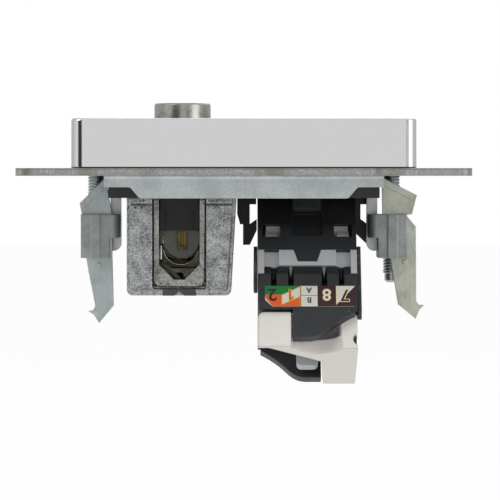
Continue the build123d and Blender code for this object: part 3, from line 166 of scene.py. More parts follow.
class Graph:
    """The node graph of one material, built by plain calls."""

    def __init__(self, name: str) -> None:
        """Start an empty material.

        Args:
            name: The material's name.
        """
        self.material = bpy.data.materials.new(name)
        self.material.use_nodes = True
        self.tree = self.material.node_tree
        self.tree.nodes.clear()

    def node(self, kind: str, settings: dict[str, Any] | None = None,
             sockets: dict[Any, Any] | None = None) -> bpy.types.Node:
        """Add any node.

        Args:
            kind: The node's type.
            settings: Its settings, set first.
            sockets: Values or wires, by socket name or number.

        Returns:
            The node.
        """
        made = self.tree.nodes.new(kind)
        for key, value in (settings or {}).items():
            setattr(made, key, value)
        for key, value in (sockets or {}).items():
            target = made.inputs[key]
            if isinstance(value, Wire):
                self.tree.links.new(value.socket, target)
            elif isinstance(value, tuple) and target.type == "RGBA":
                target.default_value = (*value[:3], 1.0)
            else:
                target.default_value = value
        return made

    def out(self, kind: str, settings: dict[str, Any] | None = None,
            sockets: dict[Any, Any] | None = None, output: Any = 0) -> Wire:
        """Add a node and give one of its outputs as a wire."""
        return Wire(self, self.node(kind, settings, sockets).outputs[output])

    def axes(self, vector: Wire) -> list[Wire]:
        """Split a vector into its x, y and z."""
        split = self.node("ShaderNodeSeparateXYZ", {}, {0: vector})
        return [Wire(self, output) for output in split.outputs]

    def rays(self, *kinds: str) -> Wire:
        """Give 1 for rays of the given kinds, such as Camera, else 0."""
        path = self.node("ShaderNodeLightPath")
        first, *others = (Wire(self, path.outputs[f"Is {kind} Ray"]) for kind in kinds)
        return sum(others, first).apply("MINIMUM", 1.0)

    def place(self, stretch: Three = (1, 1, 1), shift: Three = (0, 0, 0)) -> Wire:
        """Give Object coordinates, shifted and stretched.

        Args:
            stretch: How much denser the pattern is along each axis.
            shift: How far the pattern moves, in metres.

        Returns:
            The coordinates.
        """
        where = self.out("ShaderNodeTexCoord", output="Object")
        sockets = {"Vector": where, "Scale": stretch, "Location": shift}
        return self.out("ShaderNodeMapping", {"vector_type": "POINT"}, sockets)

    def noise(self, size: float, detail: float = 2.0, where: Wire | None = None) -> Wire:
        """Give a noise whose lumps are about the given size in millimetres."""
        sockets = {"Vector": where or self.place(), "Scale": 1 / (size * MM), "Detail": detail}
        return self.out("ShaderNodeTexNoise", {}, sockets)

    def cells(self, size: float, where: Wire | None = None) -> Wire:
        """Give a random grey for each crystal of the given size in millimetres."""
        sockets = {"Vector": where or self.place(), "Scale": 1 / (size * MM)}
        colour = self.out("ShaderNodeTexVoronoi", {}, sockets, "Color")
        return self.out("ShaderNodeSeparateColor", {}, {0: colour})

    def blend(self, first: Any, second: Any, share: Any) -> Wire:
        """Mix two colours, the second by the given share."""
        sockets = {"Factor": share, 6: first, 7: second}
        return self.out("ShaderNodeMix", {"data_type": "RGBA"}, sockets, 2)

    def layers(self, base: Any, *covers: tuple[Any, Any]) -> Any:
        """Lay colours over a base one by one, each by its own share."""
        for colour, share in covers:
            base = self.blend(base, colour, share)
        return base

    def bump(self, height: Wire, depth: float, normal: Wire | None = None) -> Wire:
        """Turn a height into a normal.

        Args:
            height: The height, 0 to 1.
            depth: How deep 1 is, in millimetres.
            normal: The normal that it starts from.

        Returns:
            The bumped normal.
        """
        sockets: dict[str, Any] = {"Height": height, "Distance": depth * MM, "Strength": 1.0}
        if normal is not None:
            sockets["Normal"] = normal
        return self.out("ShaderNodeBump", {}, sockets)

    def soft_edge(self, radius: float) -> tuple[Wire, Wire]:
        """Round the edges in the shading.

        Args:
            radius: The edge's radius in millimetres.

        Returns:
            The rounded normal, and a mask that is 1 on the edge itself.
        """
        rounded = self.out("ShaderNodeBevel", {"samples": 6}, {"Radius": radius * MM})
        plain = self.out("ShaderNodeNewGeometry", output="Normal")
        match = self.out("ShaderNodeVectorMath", {"operation": "DOT_PRODUCT"},
                         {0: rounded, 1: plain}, "Value")
        return rounded, (1 - match).rise(0.01, 0.25)

    def surface(self, sockets: dict[str, Any]) -> Material:
        """Close the graph with a Principled shader.

        Args:
            sockets: The shader's values and wires.

        Returns:
            The finished material.
        """
        shader = self.out("ShaderNodeBsdfPrincipled", {}, sockets)
        self.node("ShaderNodeOutputMaterial", {}, {"Surface": shader})
        return self.material


@dataclass(frozen=True)
class SheetZinc:
    """Zinc-coated steel sheet: cloudy, finely grained, with small dark specks and edges lightened
    by wear and a painted highlight.
    """

    name: str
    dark: Colour
    light: Colour
    grain: Three = (1, 1, 1)
    grain_size: float = 0.5
    cloud_size: float = 3.0
    roughness: float = 0.42
    metal: float = 0.75
    edge: float = 0.15
    specks: float = 1.0
    rim: float = 0.0
    rim_colour: Colour = (0.3, 0.3, 0.28)
    # where the painted shade band along the rim's top starts and ends, in millimetres
    rim_shade_band: Two = (0.8, 1.15)
    rim_foot: float = 0.3

    def cut_rim(self, graph: Graph, colour: Wire) -> Wire:
        """Make the sheared rim of the plate warmer, with a dark line along its foot and a painted
        shade band along its top, where the cover shades it.

        Args:
            graph: The finish's graph.
            colour: The colour of the faces.

        Returns:
            The colour, which is the rim's on upright faces beyond the rim.
        """
        x, y, height = graph.axes(graph.place())
        reach = x.apply("ABSOLUTE").apply("MAXIMUM", y.apply("ABSOLUTE"))
        tear = graph.noise(0.28, 4.0)
        stain = graph.noise(5.5, 2.0, graph.place((1, 1, 0.2), (0.013, 0, 0)))
        shade_start, shade_end = self.rim_shade_band
        rim = graph.layers(
            self.rim_colour,
            (tone(206, 204, 198), tear.rise(0.46, 0.70) * 0.55),
            (tone(86, 78, 66), stain.rise(0.56, 0.70) * 0.55),
            # painted shade: a dark band along the rim's top, under the cover
            (tone(70, 69, 66), height.rise(shade_start * MM, shade_end * MM) * 0.55),
            (tone(96, 95, 92), (1 - height.rise(0.0, self.rim_foot * MM)) * 0.4))
        facing = graph.axes(graph.out("ShaderNodeNewGeometry", output="Normal"))
        upright = facing[2].apply("ABSOLUTE") < 0.5
        return graph.blend(colour, rim, (reach > self.rim * MM) * upright * 0.9)

    def material(self) -> Material:
        """Build the finish."""
        graph = Graph(self.name)
        cloud = graph.noise(self.cloud_size, 3.0)
        grain = graph.noise(self.grain_size, 4.0, graph.place(self.grain))
        crystal = graph.cells(self.cloud_size * 0.45)
        share = (cloud * 0.5 + grain * 0.44 + crystal * 0.06).rise(0.30, 0.70)
        colour = graph.blend(self.dark, self.light, share)
        if self.rim:
            colour = self.cut_rim(graph, colour)
        speck = graph.noise(self.grain_size * 0.55, 1.0, graph.place(shift=(0.3, 0.1, 0.2)))
        normal, worn_and_highlit = graph.soft_edge(self.edge)
        colour = graph.layers(
            colour,
            (tone(52, 52, 50), speck.rise(0.70, 0.76) * (0.55 * self.specks)),
            # edges turned near white: wear and a painted highlight
            (tone(224, 225, 220), worn_and_highlit * 0.45))
        return graph.surface({
            "Base Color": colour, "Metallic": self.metal,
            "Roughness": self.roughness + (grain - 0.5) * 0.35,
            "Normal": graph.bump(grain, 0.02, normal)})


@dataclass(frozen=True)
class CastZinc:
    """Bare die-cast zinc: bright and mottled, with pitted dark streaks and edges lightened by wear
    and a painted highlight.
    """

    name: str
    dark: Colour
    light: Colour
    lump: float = 1.0
    pits: float = 1.0
    roughness: float = 0.3
    depth: float = 0.05
    edge: float = 0.2

    def material(self) -> Material:
        """Build the finish."""
        graph = Graph(self.name)
        cloud = graph.noise(self.lump * 2.6, 4.0)
        mottle = graph.noise(self.lump * 0.5, 5.0)
        frost = graph.noise(self.lump * 0.14, 2.0)
        share = (cloud * 0.3 + mottle * 0.45 + frost * 0.25).rise(0.34, 0.66)
        streak = graph.noise(self.lump * 0.3, 3.0, graph.place((1.0, 1.0, 0.45)))
        where = graph.noise(self.lump * 4.5, 1.0, graph.place(shift=(0.02, 0, 0.013)))
        pit = streak.rise(0.56, 0.66) * where.rise(0.52, 0.66) * self.pits
        normal, worn_and_highlit = graph.soft_edge(self.edge)
        colour = graph.layers(
            self.dark, (self.light, share),
            # pits darken; edges turn near white by wear and a painted highlight
            (tone(30, 30, 30), pit * 0.8), (tone(240, 240, 236), worn_and_highlit * 0.6))
        height = mottle * 0.6 + frost * 0.4 - pit * 0.7
        return graph.surface({
            "Base Color": colour, "Metallic": 0.9,
            "Roughness": self.roughness + (mottle - 0.5) * 0.45 + pit * 0.2,
            "Normal": graph.bump(height, self.depth, normal)})


@dataclass(frozen=True)
class TurnedMetal:
    """Turned or drawn metal: fine rings about the upright axis, slightly worn and stained, with a
    painted highlight on its edges.
    """

    name: str
    colour: Colour
    stain: Colour
    roughness: float = 0.25
    ring: float = 0.12
    edge: float = 0.1

    def material(self) -> Material:
        """Build the finish."""
        graph = Graph(self.name)
        rings = graph.noise(self.ring, 3.0, graph.place((0.02, 0.02, 1.0)))
        stain = graph.noise(1.6, 4.0)
        normal, worn_and_highlit = graph.soft_edge(self.edge)
        colour = graph.layers(
            self.colour, (self.stain, stain.rise(0.45, 0.75) * 0.7),
            # edges lightened: wear and a painted highlight
            (tone(240, 238, 230), worn_and_highlit * 0.3))
        return graph.surface({
            "Base Color": colour, "Metallic": 1.0,
            "Roughness": self.roughness + (rings - 0.5) * 0.25 + stain * 0.1,
            "Normal": graph.bump(rings, 0.012, normal)})


@dataclass(frozen=True)
class PlatedPlastic:
    """Chrome-plated moulding: a mirror with faint waves, dust and a painted shadow along its lowest
    edge, where it meets the plate.
    """

    name: str
    colour: Colour
    roughness: float = 0.05
    shade_base: float = 1.25
    shade_height: float = 0.2

    def material(self) -> Material:
        """Build the finish."""
        graph = Graph(self.name)
        wave = graph.noise(9.0, 1.0, graph.place((1.0, 1.0, 0.5)))
        dust = graph.noise(0.25, 2.0)
        haze = graph.noise(14.0, 2.0)
        normal, _ = graph.soft_edge(0.3)
        colour = graph.blend(self.colour, tone(176, 174, 170), dust.rise(0.72, 0.8) * 0.5)
        # painted shadow: near black below this height, for the shadow gap between the cover and the
        # plate
        above_shade = graph.axes(graph.place())[2].rise(
            (self.shade_base + self.shade_height * 0.6) * MM, (self.shade_base + self.shade_height) * MM)
        return graph.surface({
            "Base Color": graph.blend(tone(26, 25, 24), colour, above_shade), "Metallic": 1.0,
            "Roughness": self.roughness + haze * 0.03 + dust.rise(0.70, 0.8) * 0.25,
            "Normal": graph.bump(wave, 0.02, normal)})


@dataclass(frozen=True)
class Moulding:
    """Moulded plastic: fine grain, faint clouds, dust, and edges lightened by scuffing and a
    painted highlight.
    """

    name: str
    colour: Colour
    scuff: Colour
    roughness: float = 0.45
    grain: float = 0.12
    depth: float = 0.008
    edge: float = 0.18
    edge_wear_and_highlight: float = 0.5
    dust: float = 0.4
    through: float = 0.0
    lower: Colour | None = None
    lower_from: float = -7.5
    lower_to: float = -9.5

    def material(self) -> Material:
        """Build the finish."""
        graph = Graph(self.name)
        grain = graph.noise(self.grain, 3.0)
        cloud = graph.noise(4.0, 3.0)
        fleck = graph.noise(0.35, 1.0, graph.place(shift=(0.11, 0.07, 0.05)))
        normal, worn_and_highlit = graph.soft_edge(self.edge)
        base: Any = self.colour
        if self.lower:
            sunk = graph.axes(graph.place())[2] * -1.0
            share = sunk.rise(-self.lower_from * MM, -self.lower_to * MM)
            base = graph.blend(base, self.lower, share)
        colour = graph.layers(
            # clouds of the scuff colour, then edges lightened by scuffing and a painted highlight,
            # then dust
            base, (self.scuff, cloud.rise(0.35, 0.8) * 0.22), (self.scuff, worn_and_highlit * self.edge_wear_and_highlight),
            (tone(150, 148, 142), fleck.rise(0.74, 0.8) * self.dust))
        return graph.surface({
            "Base Color": colour, "Metallic": 0.0,
            "Roughness": self.roughness + (grain - 0.5) * 0.2 + (cloud - 0.5) * 0.12,
            "Subsurface Weight": self.through, "Subsurface Radius": (0.8, 0.8, 0.7),
            "Subsurface Scale": 0.001,
            "Normal": graph.bump(grain, self.depth, normal)})


@dataclass(frozen=True)
class SmearedShield:
    """Dark metallised side plate: black with bright worn smears, and edges lightened by wear and a
    painted highlight.
    """

    name: str
    dark: Colour
    bright: Colour

    def material(self) -> Material:
        """Build the finish."""
        graph = Graph(self.name)
        smear = graph.noise(1.5, 4.0, graph.place((1.0, 1.0, 0.4)))
        chip = graph.noise(0.5, 3.0)
        normal, worn_and_highlit = graph.soft_edge(0.25)
        share = (smear * 0.65 + chip * 0.35).rise(0.50, 0.62)
        # smears are the plate's own; the edges are lightened by wear and a painted highlight
        colour = graph.layers(self.dark, (self.bright, share * 0.35), (self.bright, worn_and_highlit * 0.7))
        return graph.surface({
            "Base Color": colour, "Metallic": share * 0.4,
            "Roughness": 0.3 + chip * 0.25,
            "Normal": graph.bump(chip, 0.03, normal)})


@dataclass(frozen=True)
class BoardFinish:
    """Circuit board: lacquered green over a faint copper pattern."""

    name: str

    def material(self) -> Material:
        """Build the finish."""
        graph = Graph(self.name)
        track = graph.cells(1.4) > 0.55
        weave = graph.noise(0.2, 2.0, graph.place((1, 1, 3)))
        return graph.surface({
            "Base Color": graph.blend(tone(18, 74, 44), tone(36, 108, 62), track * 0.8),
            "Metallic": 0.0, "Roughness": 0.35 + weave * 0.15,
            "Normal": graph.bump(track, 0.02)})


class WireColours(Enum):
    """Which figures a label shows, from its left to its right."""

    FRONT = ("2", "1", "8", "7")
    REAR = ("6", "3", "5", "4")


@dataclass(frozen=True)
class LabelInk:
    """Printed fields of the colour-code label, read from its own map.

    On the map, s runs along the label and t across it. The band is the field
    at the left end. Right of it the two colours are cut off by slanting lines,
    then come the field with the letters, the solid field and its paper wedge.
    """

    name: str
    upper: Colour
    lower: Colour
    solid: Colour
    band_end: float = 0.19
    band_split: float = 0.572
    high_line: Two = (2.06, 0.55)
    low_line: Two = (1.93, 0.10)
    line_half: float = 0.022
    cell: Two = (0.396, 0.581)
    cell_bar: Two = (0.525, 0.548)
    wedge_start: float = 0.789
    wedge_line: Two = (4.37, 0.077)
    band_line: Four = (0.184, 0.192, 0.08, 0.57)
    cell_lines: Three = (0.383, 0.392, 0.399)
    wedge_side: Three = (0.785, 0.791, 0.09)

    def material(self) -> Material:
        """Build the finish. Each field is a region between straight lines."""
        graph = Graph(self.name)
        s, t, _ = graph.axes(graph.out("ShaderNodeUVMap", {"uv_map": "print"}))
        paper, thin, black = tone(216, 214, 204), tone(226, 190, 40), tone(22, 22, 22)
        past_band = s > self.band_end
        over_high = t - (s - self.band_end) * self.high_line[0] - self.high_line[1]
        over_low = t - (s - self.band_end) * self.low_line[0] - self.low_line[1]
        upper = ((1 - past_band) * (t > self.band_split) + past_band * (over_high > 0)) > 0.5
        lower = ((1 - past_band) * (t < self.band_split) + past_band * (over_low < 0)) > 0.5
        rim_high = over_high.apply("ABSOLUTE") < self.line_half
        rim_low = over_low.apply("ABSOLUTE") < self.line_half
        rim_side = s.between(*self.band_line[:2]) * t.between(*self.band_line[2:])
        rims = (rim_high + rim_low) * past_band + rim_side
        cell = s.between(*self.cell)
        yellow_start, black_start, black_end = self.cell_lines
        side_start, side_end, side_foot = self.wedge_side
        steep, start = self.wedge_line
        wedge = (s > self.wedge_start) * (t > (s - self.wedge_start) * steep + start)
        smudge = graph.noise(1.1, 3.0)
        colour = graph.layers(
            paper, (self.upper, upper), (self.lower, lower), (thin, rims > 0.5),
            (thin, s.between(yellow_start, black_start) * 0.7), (paper, cell),
            (black, cell * t.between(*self.cell_bar)),
            (black, s.between(black_start, black_end)),
            (self.solid, s > self.cell[1]), (paper, wedge),
            (thin, s.between(side_start, side_end) * (t > side_foot)),
            (tone(60, 56, 50), smudge.rise(0.6, 0.85) * 0.15))
        return graph.surface({
            "Base Color": colour, "Roughness": 0.5 + smudge * 0.15,
            "Normal": graph.bump(smudge, 0.01)})


@dataclass(frozen=True)
class PlainInk:
    """Ink of the figures: one colour, unevenly laid down."""

    name: str
    colour: Colour

    def material(self) -> Material:
        """Build the finish."""
        graph = Graph(self.name)
        patch = graph.noise(0.3, 2.0)
        colour = graph.blend(self.colour, tone(120, 116, 108), patch.rise(0.62, 0.8) * 0.15)
        return graph.surface({"Base Color": colour, "Roughness": 0.4 + patch * 0.1})


def grid(x: Any, y: Any, z: Any) -> Points:
    """Join three coordinates into points, each spread over the rows and columns.

    Args:
        x: The first coordinate: a number, a row, a column or a full grid.
        y: The second one.
        z: The third one.

    Returns:
        Points of shape (rows, columns, 3).
    """
    return np.stack(np.broadcast_arrays(x, y, z), axis=-1)


def full_turn(count: int) -> Points:
    """Give a row of evenly spaced angles round one full turn."""
    return np.linspace(0, 2 * np.pi, count, endpoint=False)[None, :]


def surface_object(name: str, points: Points, close_columns: bool = False,
                   caps: bool = False, smooth: bool = True) -> bpy.types.Object:
    """Make an object from a grid of points.

    Args:
        name: The object's name.
        points: Rows and columns of points in millimetres, shape (rows, columns, 3).
        close_columns: Whether the last column joins the first.
        caps: Whether the first and the last row are closed with a face.
        smooth: Whether the faces are shaded smooth.

    Returns:
        The object, at the origin, with its place in its mesh.
    """
    rows, columns = points.shape[:2]
    index = np.arange(rows * columns).reshape(rows, columns)
    following = np.roll(index, -1, axis=1)
    last = columns if close_columns else columns - 1
    quads = np.stack([index[:-1, :last], following[:-1, :last],
                      following[1:, :last], index[1:, :last]], axis=-1).reshape(-1, 4)
    faces: list[Any] = quads.tolist()
    if caps:
        faces.append(index[0, ::-1].tolist())
        faces.append(index[-1].tolist())
    mesh = bpy.data.meshes.new(name)
    mesh.from_pydata((points.reshape(-1, 3) * MM).tolist(), [], faces)
    mesh.update()
    mesh.polygons.foreach_set("use_smooth", np.full(len(mesh.polygons), smooth))
    made = bpy.data.objects.new(name, mesh)
    bpy.context.scene.collection.objects.link(made)
    return made


def leaned(points: Points) -> Points:
    """Lean points of the data outlet over by its tilt, and move them to its place.

    The x is moved sideways. The (v, w) pair turns by the tilt about the x axis,
    so that the lower end comes towards the viewer.

    Args:
        points: Points as (u, v, w), in the data outlet's own upright frame.

    Returns:
        The same points in the part's frame.
    """
    tilt = math.radians(DataOutlet.tilt)
    u, v, w = points[..., 0], points[..., 1], points[..., 2]
    y = v * math.cos(tilt) + w * math.sin(tilt)
    z = -v * math.sin(tilt) + w * math.cos(tilt)
    return np.stack([u + DataOutlet.middle_x, y, z], axis=-1)


@dataclass
class SubAssembly:
    """A group of pieces that is built and dressed together."""

    frame: dict[str, Any]
    made: list[str] = field(default_factory=list)

    def dress(self, nodes: list[str], finish: Any) -> None:
        """Give carried-over pieces their finish.

        Args:
            nodes: The names of the nodes.
            finish: The finish that they share.
        """
        material = finish.material()
        for name in nodes:
            mesh = self.frame["nodes"][name].data
            mesh.materials.clear()
            mesh.materials.append(material)
            self.made.append(name)
            LOG.info("dressed %s with %s", name, finish.name)

    def add(self, piece: bpy.types.Object, body: str, slot: str, material: Material) -> None:
        """Give a new piece its finish and its body.

        Args:
            piece: The new piece.
            body: The body that it moves with.
            slot: The record's material slot; not used.
            material: Its material.
        """
        piece.data.materials.clear()
        piece.data.materials.append(material)
        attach(piece, body)
        self.made.append(piece.name)
        LOG.info("added %s on %s, %d faces", piece.name, body, len(piece.data.polygons))


@dataclass
class PlateAndCover(SubAssembly):
    """The steel plate, the chrome cover and the black carrier."""

    def build(self) -> None:
        """Dress the plate, the cover and the carrier."""
        self.dress(["support_plate"], SheetZinc(
            "galvanised_plate", tone(176, 181, 181), tone(206, 211, 212), cloud_size=5.0,
            roughness=0.36, metal=0.7, edge=0.12, specks=0.7, rim=30.0,
            rim_colour=tone(146, 145, 141)))
        self.dress(["chrome_cover"], PlatedPlastic("mirror_chrome", tone(204, 204, 205)))
        self.dress(["carrier"], Moulding(
            "carrier_black", tone(22, 22, 23), tone(60, 60, 60), 0.42))


@dataclass
class ClawDrive(SubAssembly):
    """Both claws with their blocks and threaded screws."""

    screw_x: float = 24.9
    radius: float = 1.5
    pitch: float = 0.5
    rows_per_pitch: int = 8
    columns: int = 28
    thread_depth: float = 0.24
    ridge_slope: float = 2.4
    run_out: float = 0.3
    tip_radius: float = 1.15
    tip_length: float = 1.6
    tip_chamfer: float = 0.35
    end: float = -18.0
    under_head: float = 1.25
    plain_neck: float = 0.4
    head_radius: float = 1.9
    head_top: float = 3.25
    head_rim: float = 0.45
    slot_half: float = 0.4
    slot_depth: float = 1.0

    def shank(self, x: float) -> Points:
        """Give the points of an upright threaded shank.

        The radius is the outline's radius less a ridge. The ridge is a triangle
        wave of the height over the pitch minus the turn over one full turn. It
        fades out at the tip and under the head.

        Args:
            x: The axis's x.

        Returns:
            Points of shape (rows, columns, 3).
        """
        rows = int((self.under_head - self.end) / self.pitch * self.rows_per_pitch) + 1
        height = np.linspace(self.end, self.under_head, rows)[:, None]
        turn = full_turn(self.columns)
        tip_top = self.end + self.tip_length
        chamfer = np.clip((height - self.end) / self.tip_chamfer, 0, 1)
        tip = self.tip_radius - self.tip_chamfer * (1 - chamfer)
        outline = np.where(height < tip_top, tip, self.radius)
        share = (np.clip((height - tip_top) / self.run_out, 0, 1)
                 * np.clip((self.under_head - self.plain_neck - height) / self.run_out, 0, 1))
        phase = (height / self.pitch - turn / (2 * np.pi)) % 1.0
        ridge = np.clip(1 - self.ridge_slope * np.abs(phase - 0.5), 0, 1)
        reach = np.minimum(self.radius, outline) - self.thread_depth * share * (1 - ridge)
        return grid(x + reach * np.cos(turn), reach * np.sin(turn), height)

    def screw(self, side: int) -> Points:
        """Give one screw's points: shank, then head, as one turned surface.

        The head is turned about the axis, and its top sinks by the slot's depth
        wherever y is within the slot.

        Args:
            side: 1 for the right side and -1 for the left.

        Returns:
            Points of shape (rows, columns, 3).
        """
        x = side * self.screw_x
        turn = full_turn(self.columns)
        rim = self.head_rim
        bend = np.linspace(0, np.pi / 2, 6)
        radius = np.concatenate([[self.head_radius, self.head_radius],
                                 self.head_radius - rim + rim * np.cos(bend),
                                 np.linspace(self.head_radius - rim, 0.02, 7)[1:]])[:, None]
        height = np.concatenate([[self.under_head, self.head_top - rim],
                                 self.head_top - rim + rim * np.sin(bend),
                                 np.full(6, self.head_top)])[:, None]
        y = radius * np.sin(turn)
        in_slot = (np.abs(y) < self.slot_half) & (height > self.head_top - self.slot_depth)
        z = np.where(in_slot, self.head_top - self.slot_depth, height)
        return np.concatenate([self.shank(x), grid(x + radius * np.cos(turn), y, z)], axis=0)

    def build(self) -> None:
        """Build the screws, and dress the claws and the blocks."""
        for nodes, name, dark, light, grain, sizes in (
                (["claw_left"], "claw_zinc_bluish", tone(158, 166, 166), tone(188, 196, 196),
                 0.35, (0.4, 4.5, 0.38, 0.7, 0.14)),
                (["claw_right"], "claw_zinc_yellowish", tone(158, 161, 151), tone(198, 199, 184),
                 0.3, (0.4, 4.0, 0.36, 0.75, 0.16)),
                (["claw_block_left", "claw_block_right"], "block_cast_grey",
                 tone(136, 141, 140), tone(168, 173, 172), 0.6, (0.3, 2.6, 0.46, 0.6, 0.2))):
            self.dress(nodes, SheetZinc(name, dark, light, (1, 1, grain), *sizes, specks=0.4))
        steel = TurnedMetal("screw_steel", tone(178, 184, 186), tone(120, 122, 120), 0.3, 0.1)
        material = steel.material()
        for side, word in ((1, "right"), (-1, "left")):
            piece = surface_object(f"threaded_screw_{word}", self.screw(side), True, True)
            self.add(piece, f"{word}_screw", "screw_steel", material)
            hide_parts(f"claw_screw_{word}")


@dataclass
class TvOutlet(SubAssembly):
    """The zinc box with its barrel, flap and cable grip."""

    middle_x: float = -10.6
    disc_z: float = -10.85
    disc_radius: float = 3.08
    liner_sides: Two = (-14.08, -7.32)
    liner_ends: Two = (-15.4, -9.1)
    pocket_floor: float = -2.5
    saddle_turn: Two = (190, 350)
    saddle_radius: float = 3.05
    saddle_shift: float = 0.04
    saddle_drop: float = 1.15
    saddle_taper: float = 0.1
    saddle_thick: float = 0.13
    saddle_y: float = -3.25
    leaf_upper: Four = (-14.08, -14.66, 2.4, -2.46)
    leaf_lower: Four = (-12.62, -14.78, 2.34, -2.42)
    leaf_y: float = -7.15
    leaf_thick: float = 0.2
    leaf_bulge: float = 0.12
    rib_middle: Three = (-13.86, -4.2, -12.9)
    rib_radius: float = 0.24
    rib_half: float = 1.5

    def liner(self) -> Points:
        """Give the liner of the cable pocket, with its round cut-out.

        Each ray from the disc's middle runs from the cut-out's circle to the
        liner's outline, which is the nearer of the upright and the level edge.

        Returns:
            Points of shape (rows, columns, 3).
        """
        start = math.asin((self.liner_ends[1] - self.disc_z) / self.disc_radius)
        turn = np.linspace(math.pi - start, 2 * math.pi + start, 65)[None, :]
        cosine, sine = np.cos(turn), np.sin(turn)
        wide = np.where(cosine > 0, self.liner_sides[1], self.liner_sides[0]) - self.middle_x
        high = np.where(sine > 0, self.liner_ends[1], self.liner_ends[0]) - self.disc_z
        tiny = 1e-6
        across = wide / np.where(np.abs(cosine) < tiny, tiny, cosine)
        upward = high / np.where(np.abs(sine) < tiny, tiny, sine)
        outline = np.maximum(np.minimum(np.abs(across), np.abs(upward)), self.disc_radius)
        share = np.array([0.0, 0.0, 0.04, 0.5, 0.96, 1.0, 1.0])[:, None]
        depth = np.array([0.0, 0.2, 0.25, 0.25, 0.25, 0.2, 0.0])[:, None]
        reach = self.disc_radius + share * (outline - self.disc_radius)
        return grid(self.middle_x + reach * cosine, self.pocket_floor - depth,
                    self.disc_z + reach * sine)

    def saddle(self) -> Points:
        """Give the polished saddle under the disc.

        A band runs from an arc on the disc's rim to a lower arc nearer the
        viewer. Its section is a flat ellipse along the line between the arcs.

        Returns:
            Points of shape (rows, columns, 3).
        """
        first, last = self.saddle_turn
        turn = np.linspace(math.radians(first), math.radians(last), 41)[:, None]
        around = full_turn(16)
        along = 0.5 + 0.5 * np.cos(around)
        radius = (self.saddle_radius - self.saddle_taper * along
                  + self.saddle_thick * np.sin(around))
        x = self.middle_x + self.saddle_shift + radius * np.cos(turn)
        z = self.disc_z - self.saddle_drop * along + radius * np.sin(turn)
        return grid(x, self.saddle_y - self.saddle_drop * along, z)

    def leaf(self) -> Points:
        """Give the bent leaf of the cable grip.

        The leaf runs between two slanting edges, each given as its start's x
        and z and the way from there to its end. It bulges towards the viewer
        by a half sine across its width.

        Returns:
            Points of shape (rows, columns, 3).
        """
        along = np.linspace(0, 1, 9)[:, None, None]
        across = np.concatenate([np.linspace(0, 1, 7), np.linspace(1, 0, 7)])
        front = np.concatenate([np.ones(7), np.zeros(7)])
        upper, lower = (np.array(edge[:2]) + along * np.array(edge[2:])
                        for edge in (self.leaf_upper, self.leaf_lower))
        place = upper + across[None, :, None] * (lower - upper)
        y = self.leaf_y - self.leaf_thick * front - self.leaf_bulge * np.sin(np.pi * across)
        return grid(place[..., 0], y, place[..., 1])

    def glint_rod(self) -> Points:
        """Give the polished rib on the pocket's left wall, a bright rod put there to paint the
        glint that the wall shows.

        A rod with round ends: its radius follows a steep curve near both ends.

        Returns:
            Points of shape (rows, columns, 3).
        """
        x, y, z = self.rib_middle
        along = np.linspace(-1, 1, 25)[:, None]
        turn = full_turn(20)
        radius = self.rib_radius * np.sqrt(np.clip(1 - np.abs(along) ** 8, 0.0004, 1))
        return grid(x + radius * np.cos(turn), y + radius * np.sin(turn), z + self.rib_half * along)

    def pocket_pieces(self) -> None:
        """Build the small pieces that show inside the cable pocket."""
        khaki = SheetZinc(
            "pocket_khaki", tone(66, 63, 52), tone(104, 100, 84), grain_size=0.6, cloud_size=2.5,
            roughness=0.32, metal=0.6, edge=0.08, specks=0.5).material()
        bright = TurnedMetal(
            "saddle_chrome", tone(214, 213, 208), tone(60, 58, 52), 0.1, 0.3).material()
        worn_and_highlit = Moulding("leaf_dark", tone(57, 58, 53), tone(104, 104, 96), 0.35).material()
        for name, points, closed, smooth, slot, material in (
                ("pocket_liner", self.liner(), False, False, "screw_steel", khaki),
                ("cable_saddle", self.saddle(), True, True, "screw_steel", bright),
                ("grip_leaf", self.leaf(), True, False, "screw_steel", worn_and_highlit),
                # the rib is a bright rod that stands in for a glint on the pocket's left wall
                ("pocket_glint_rod", self.glint_rod(), True, True, "zinc_casting", bright)):
            self.add(surface_object(name, points, closed, closed, smooth), "socket", slot, material)

    def build(self) -> None:
        """Dress the box and everything in it."""
        for nodes, finish in (
                (["tv_housing", "tv_rear_lid"], CastZinc(
                    "box_die_cast", tone(78, 81, 82), tone(204, 206, 206), 0.62, edge=0.3)),
                (["tv_cable_flap"], CastZinc(
                    "flap_die_cast", tone(92, 92, 88), tone(184, 184, 178), 0.8, 0.5, 0.34, 0.035)),
                (["tv_barrel"], TurnedMetal(
                    "barrel_nickel", tone(160, 158, 153), tone(112, 110, 104), 0.2, 0.09)),
                (["tv_port_insulator", "tv_cable_insulator"], Moulding(
                    "clear_insulator", tone(122, 121, 112), tone(168, 167, 158),
                    0.3, 0.3, 0.01, 0.12, 0.3, 0.1, 0.4)),
                (["tv_centre_pin", "tv_core_clamp"], TurnedMetal(
                    "brass_contact", tone(98, 86, 52), tone(42, 37, 25), 0.25, 0.15)),
                (["tv_slide"], Moulding(
                    "slide_charcoal", tone(19, 21, 26), tone(34, 36, 42), 0.5)),
                (["tv_latch_clip"], Moulding(
                    "clip_grey", tone(60, 61, 60), tone(120, 120, 118), 0.35)),
                (["tv_braid_clamp", "tv_flap_pin"], TurnedMetal(
                    "grip_steel", tone(92, 89, 74), tone(46, 43, 33), 0.3, 0.2)),
                (["tv_braid_screw", "housing_screws"], TurnedMetal(
                    "small_screw_steel", tone(190, 188, 182), tone(96, 92, 84), 0.22, 0.08)),
                (["tv_board"], BoardFinish("tv_board_green"))):
            self.dress(nodes, finish)
        self.pocket_pieces()


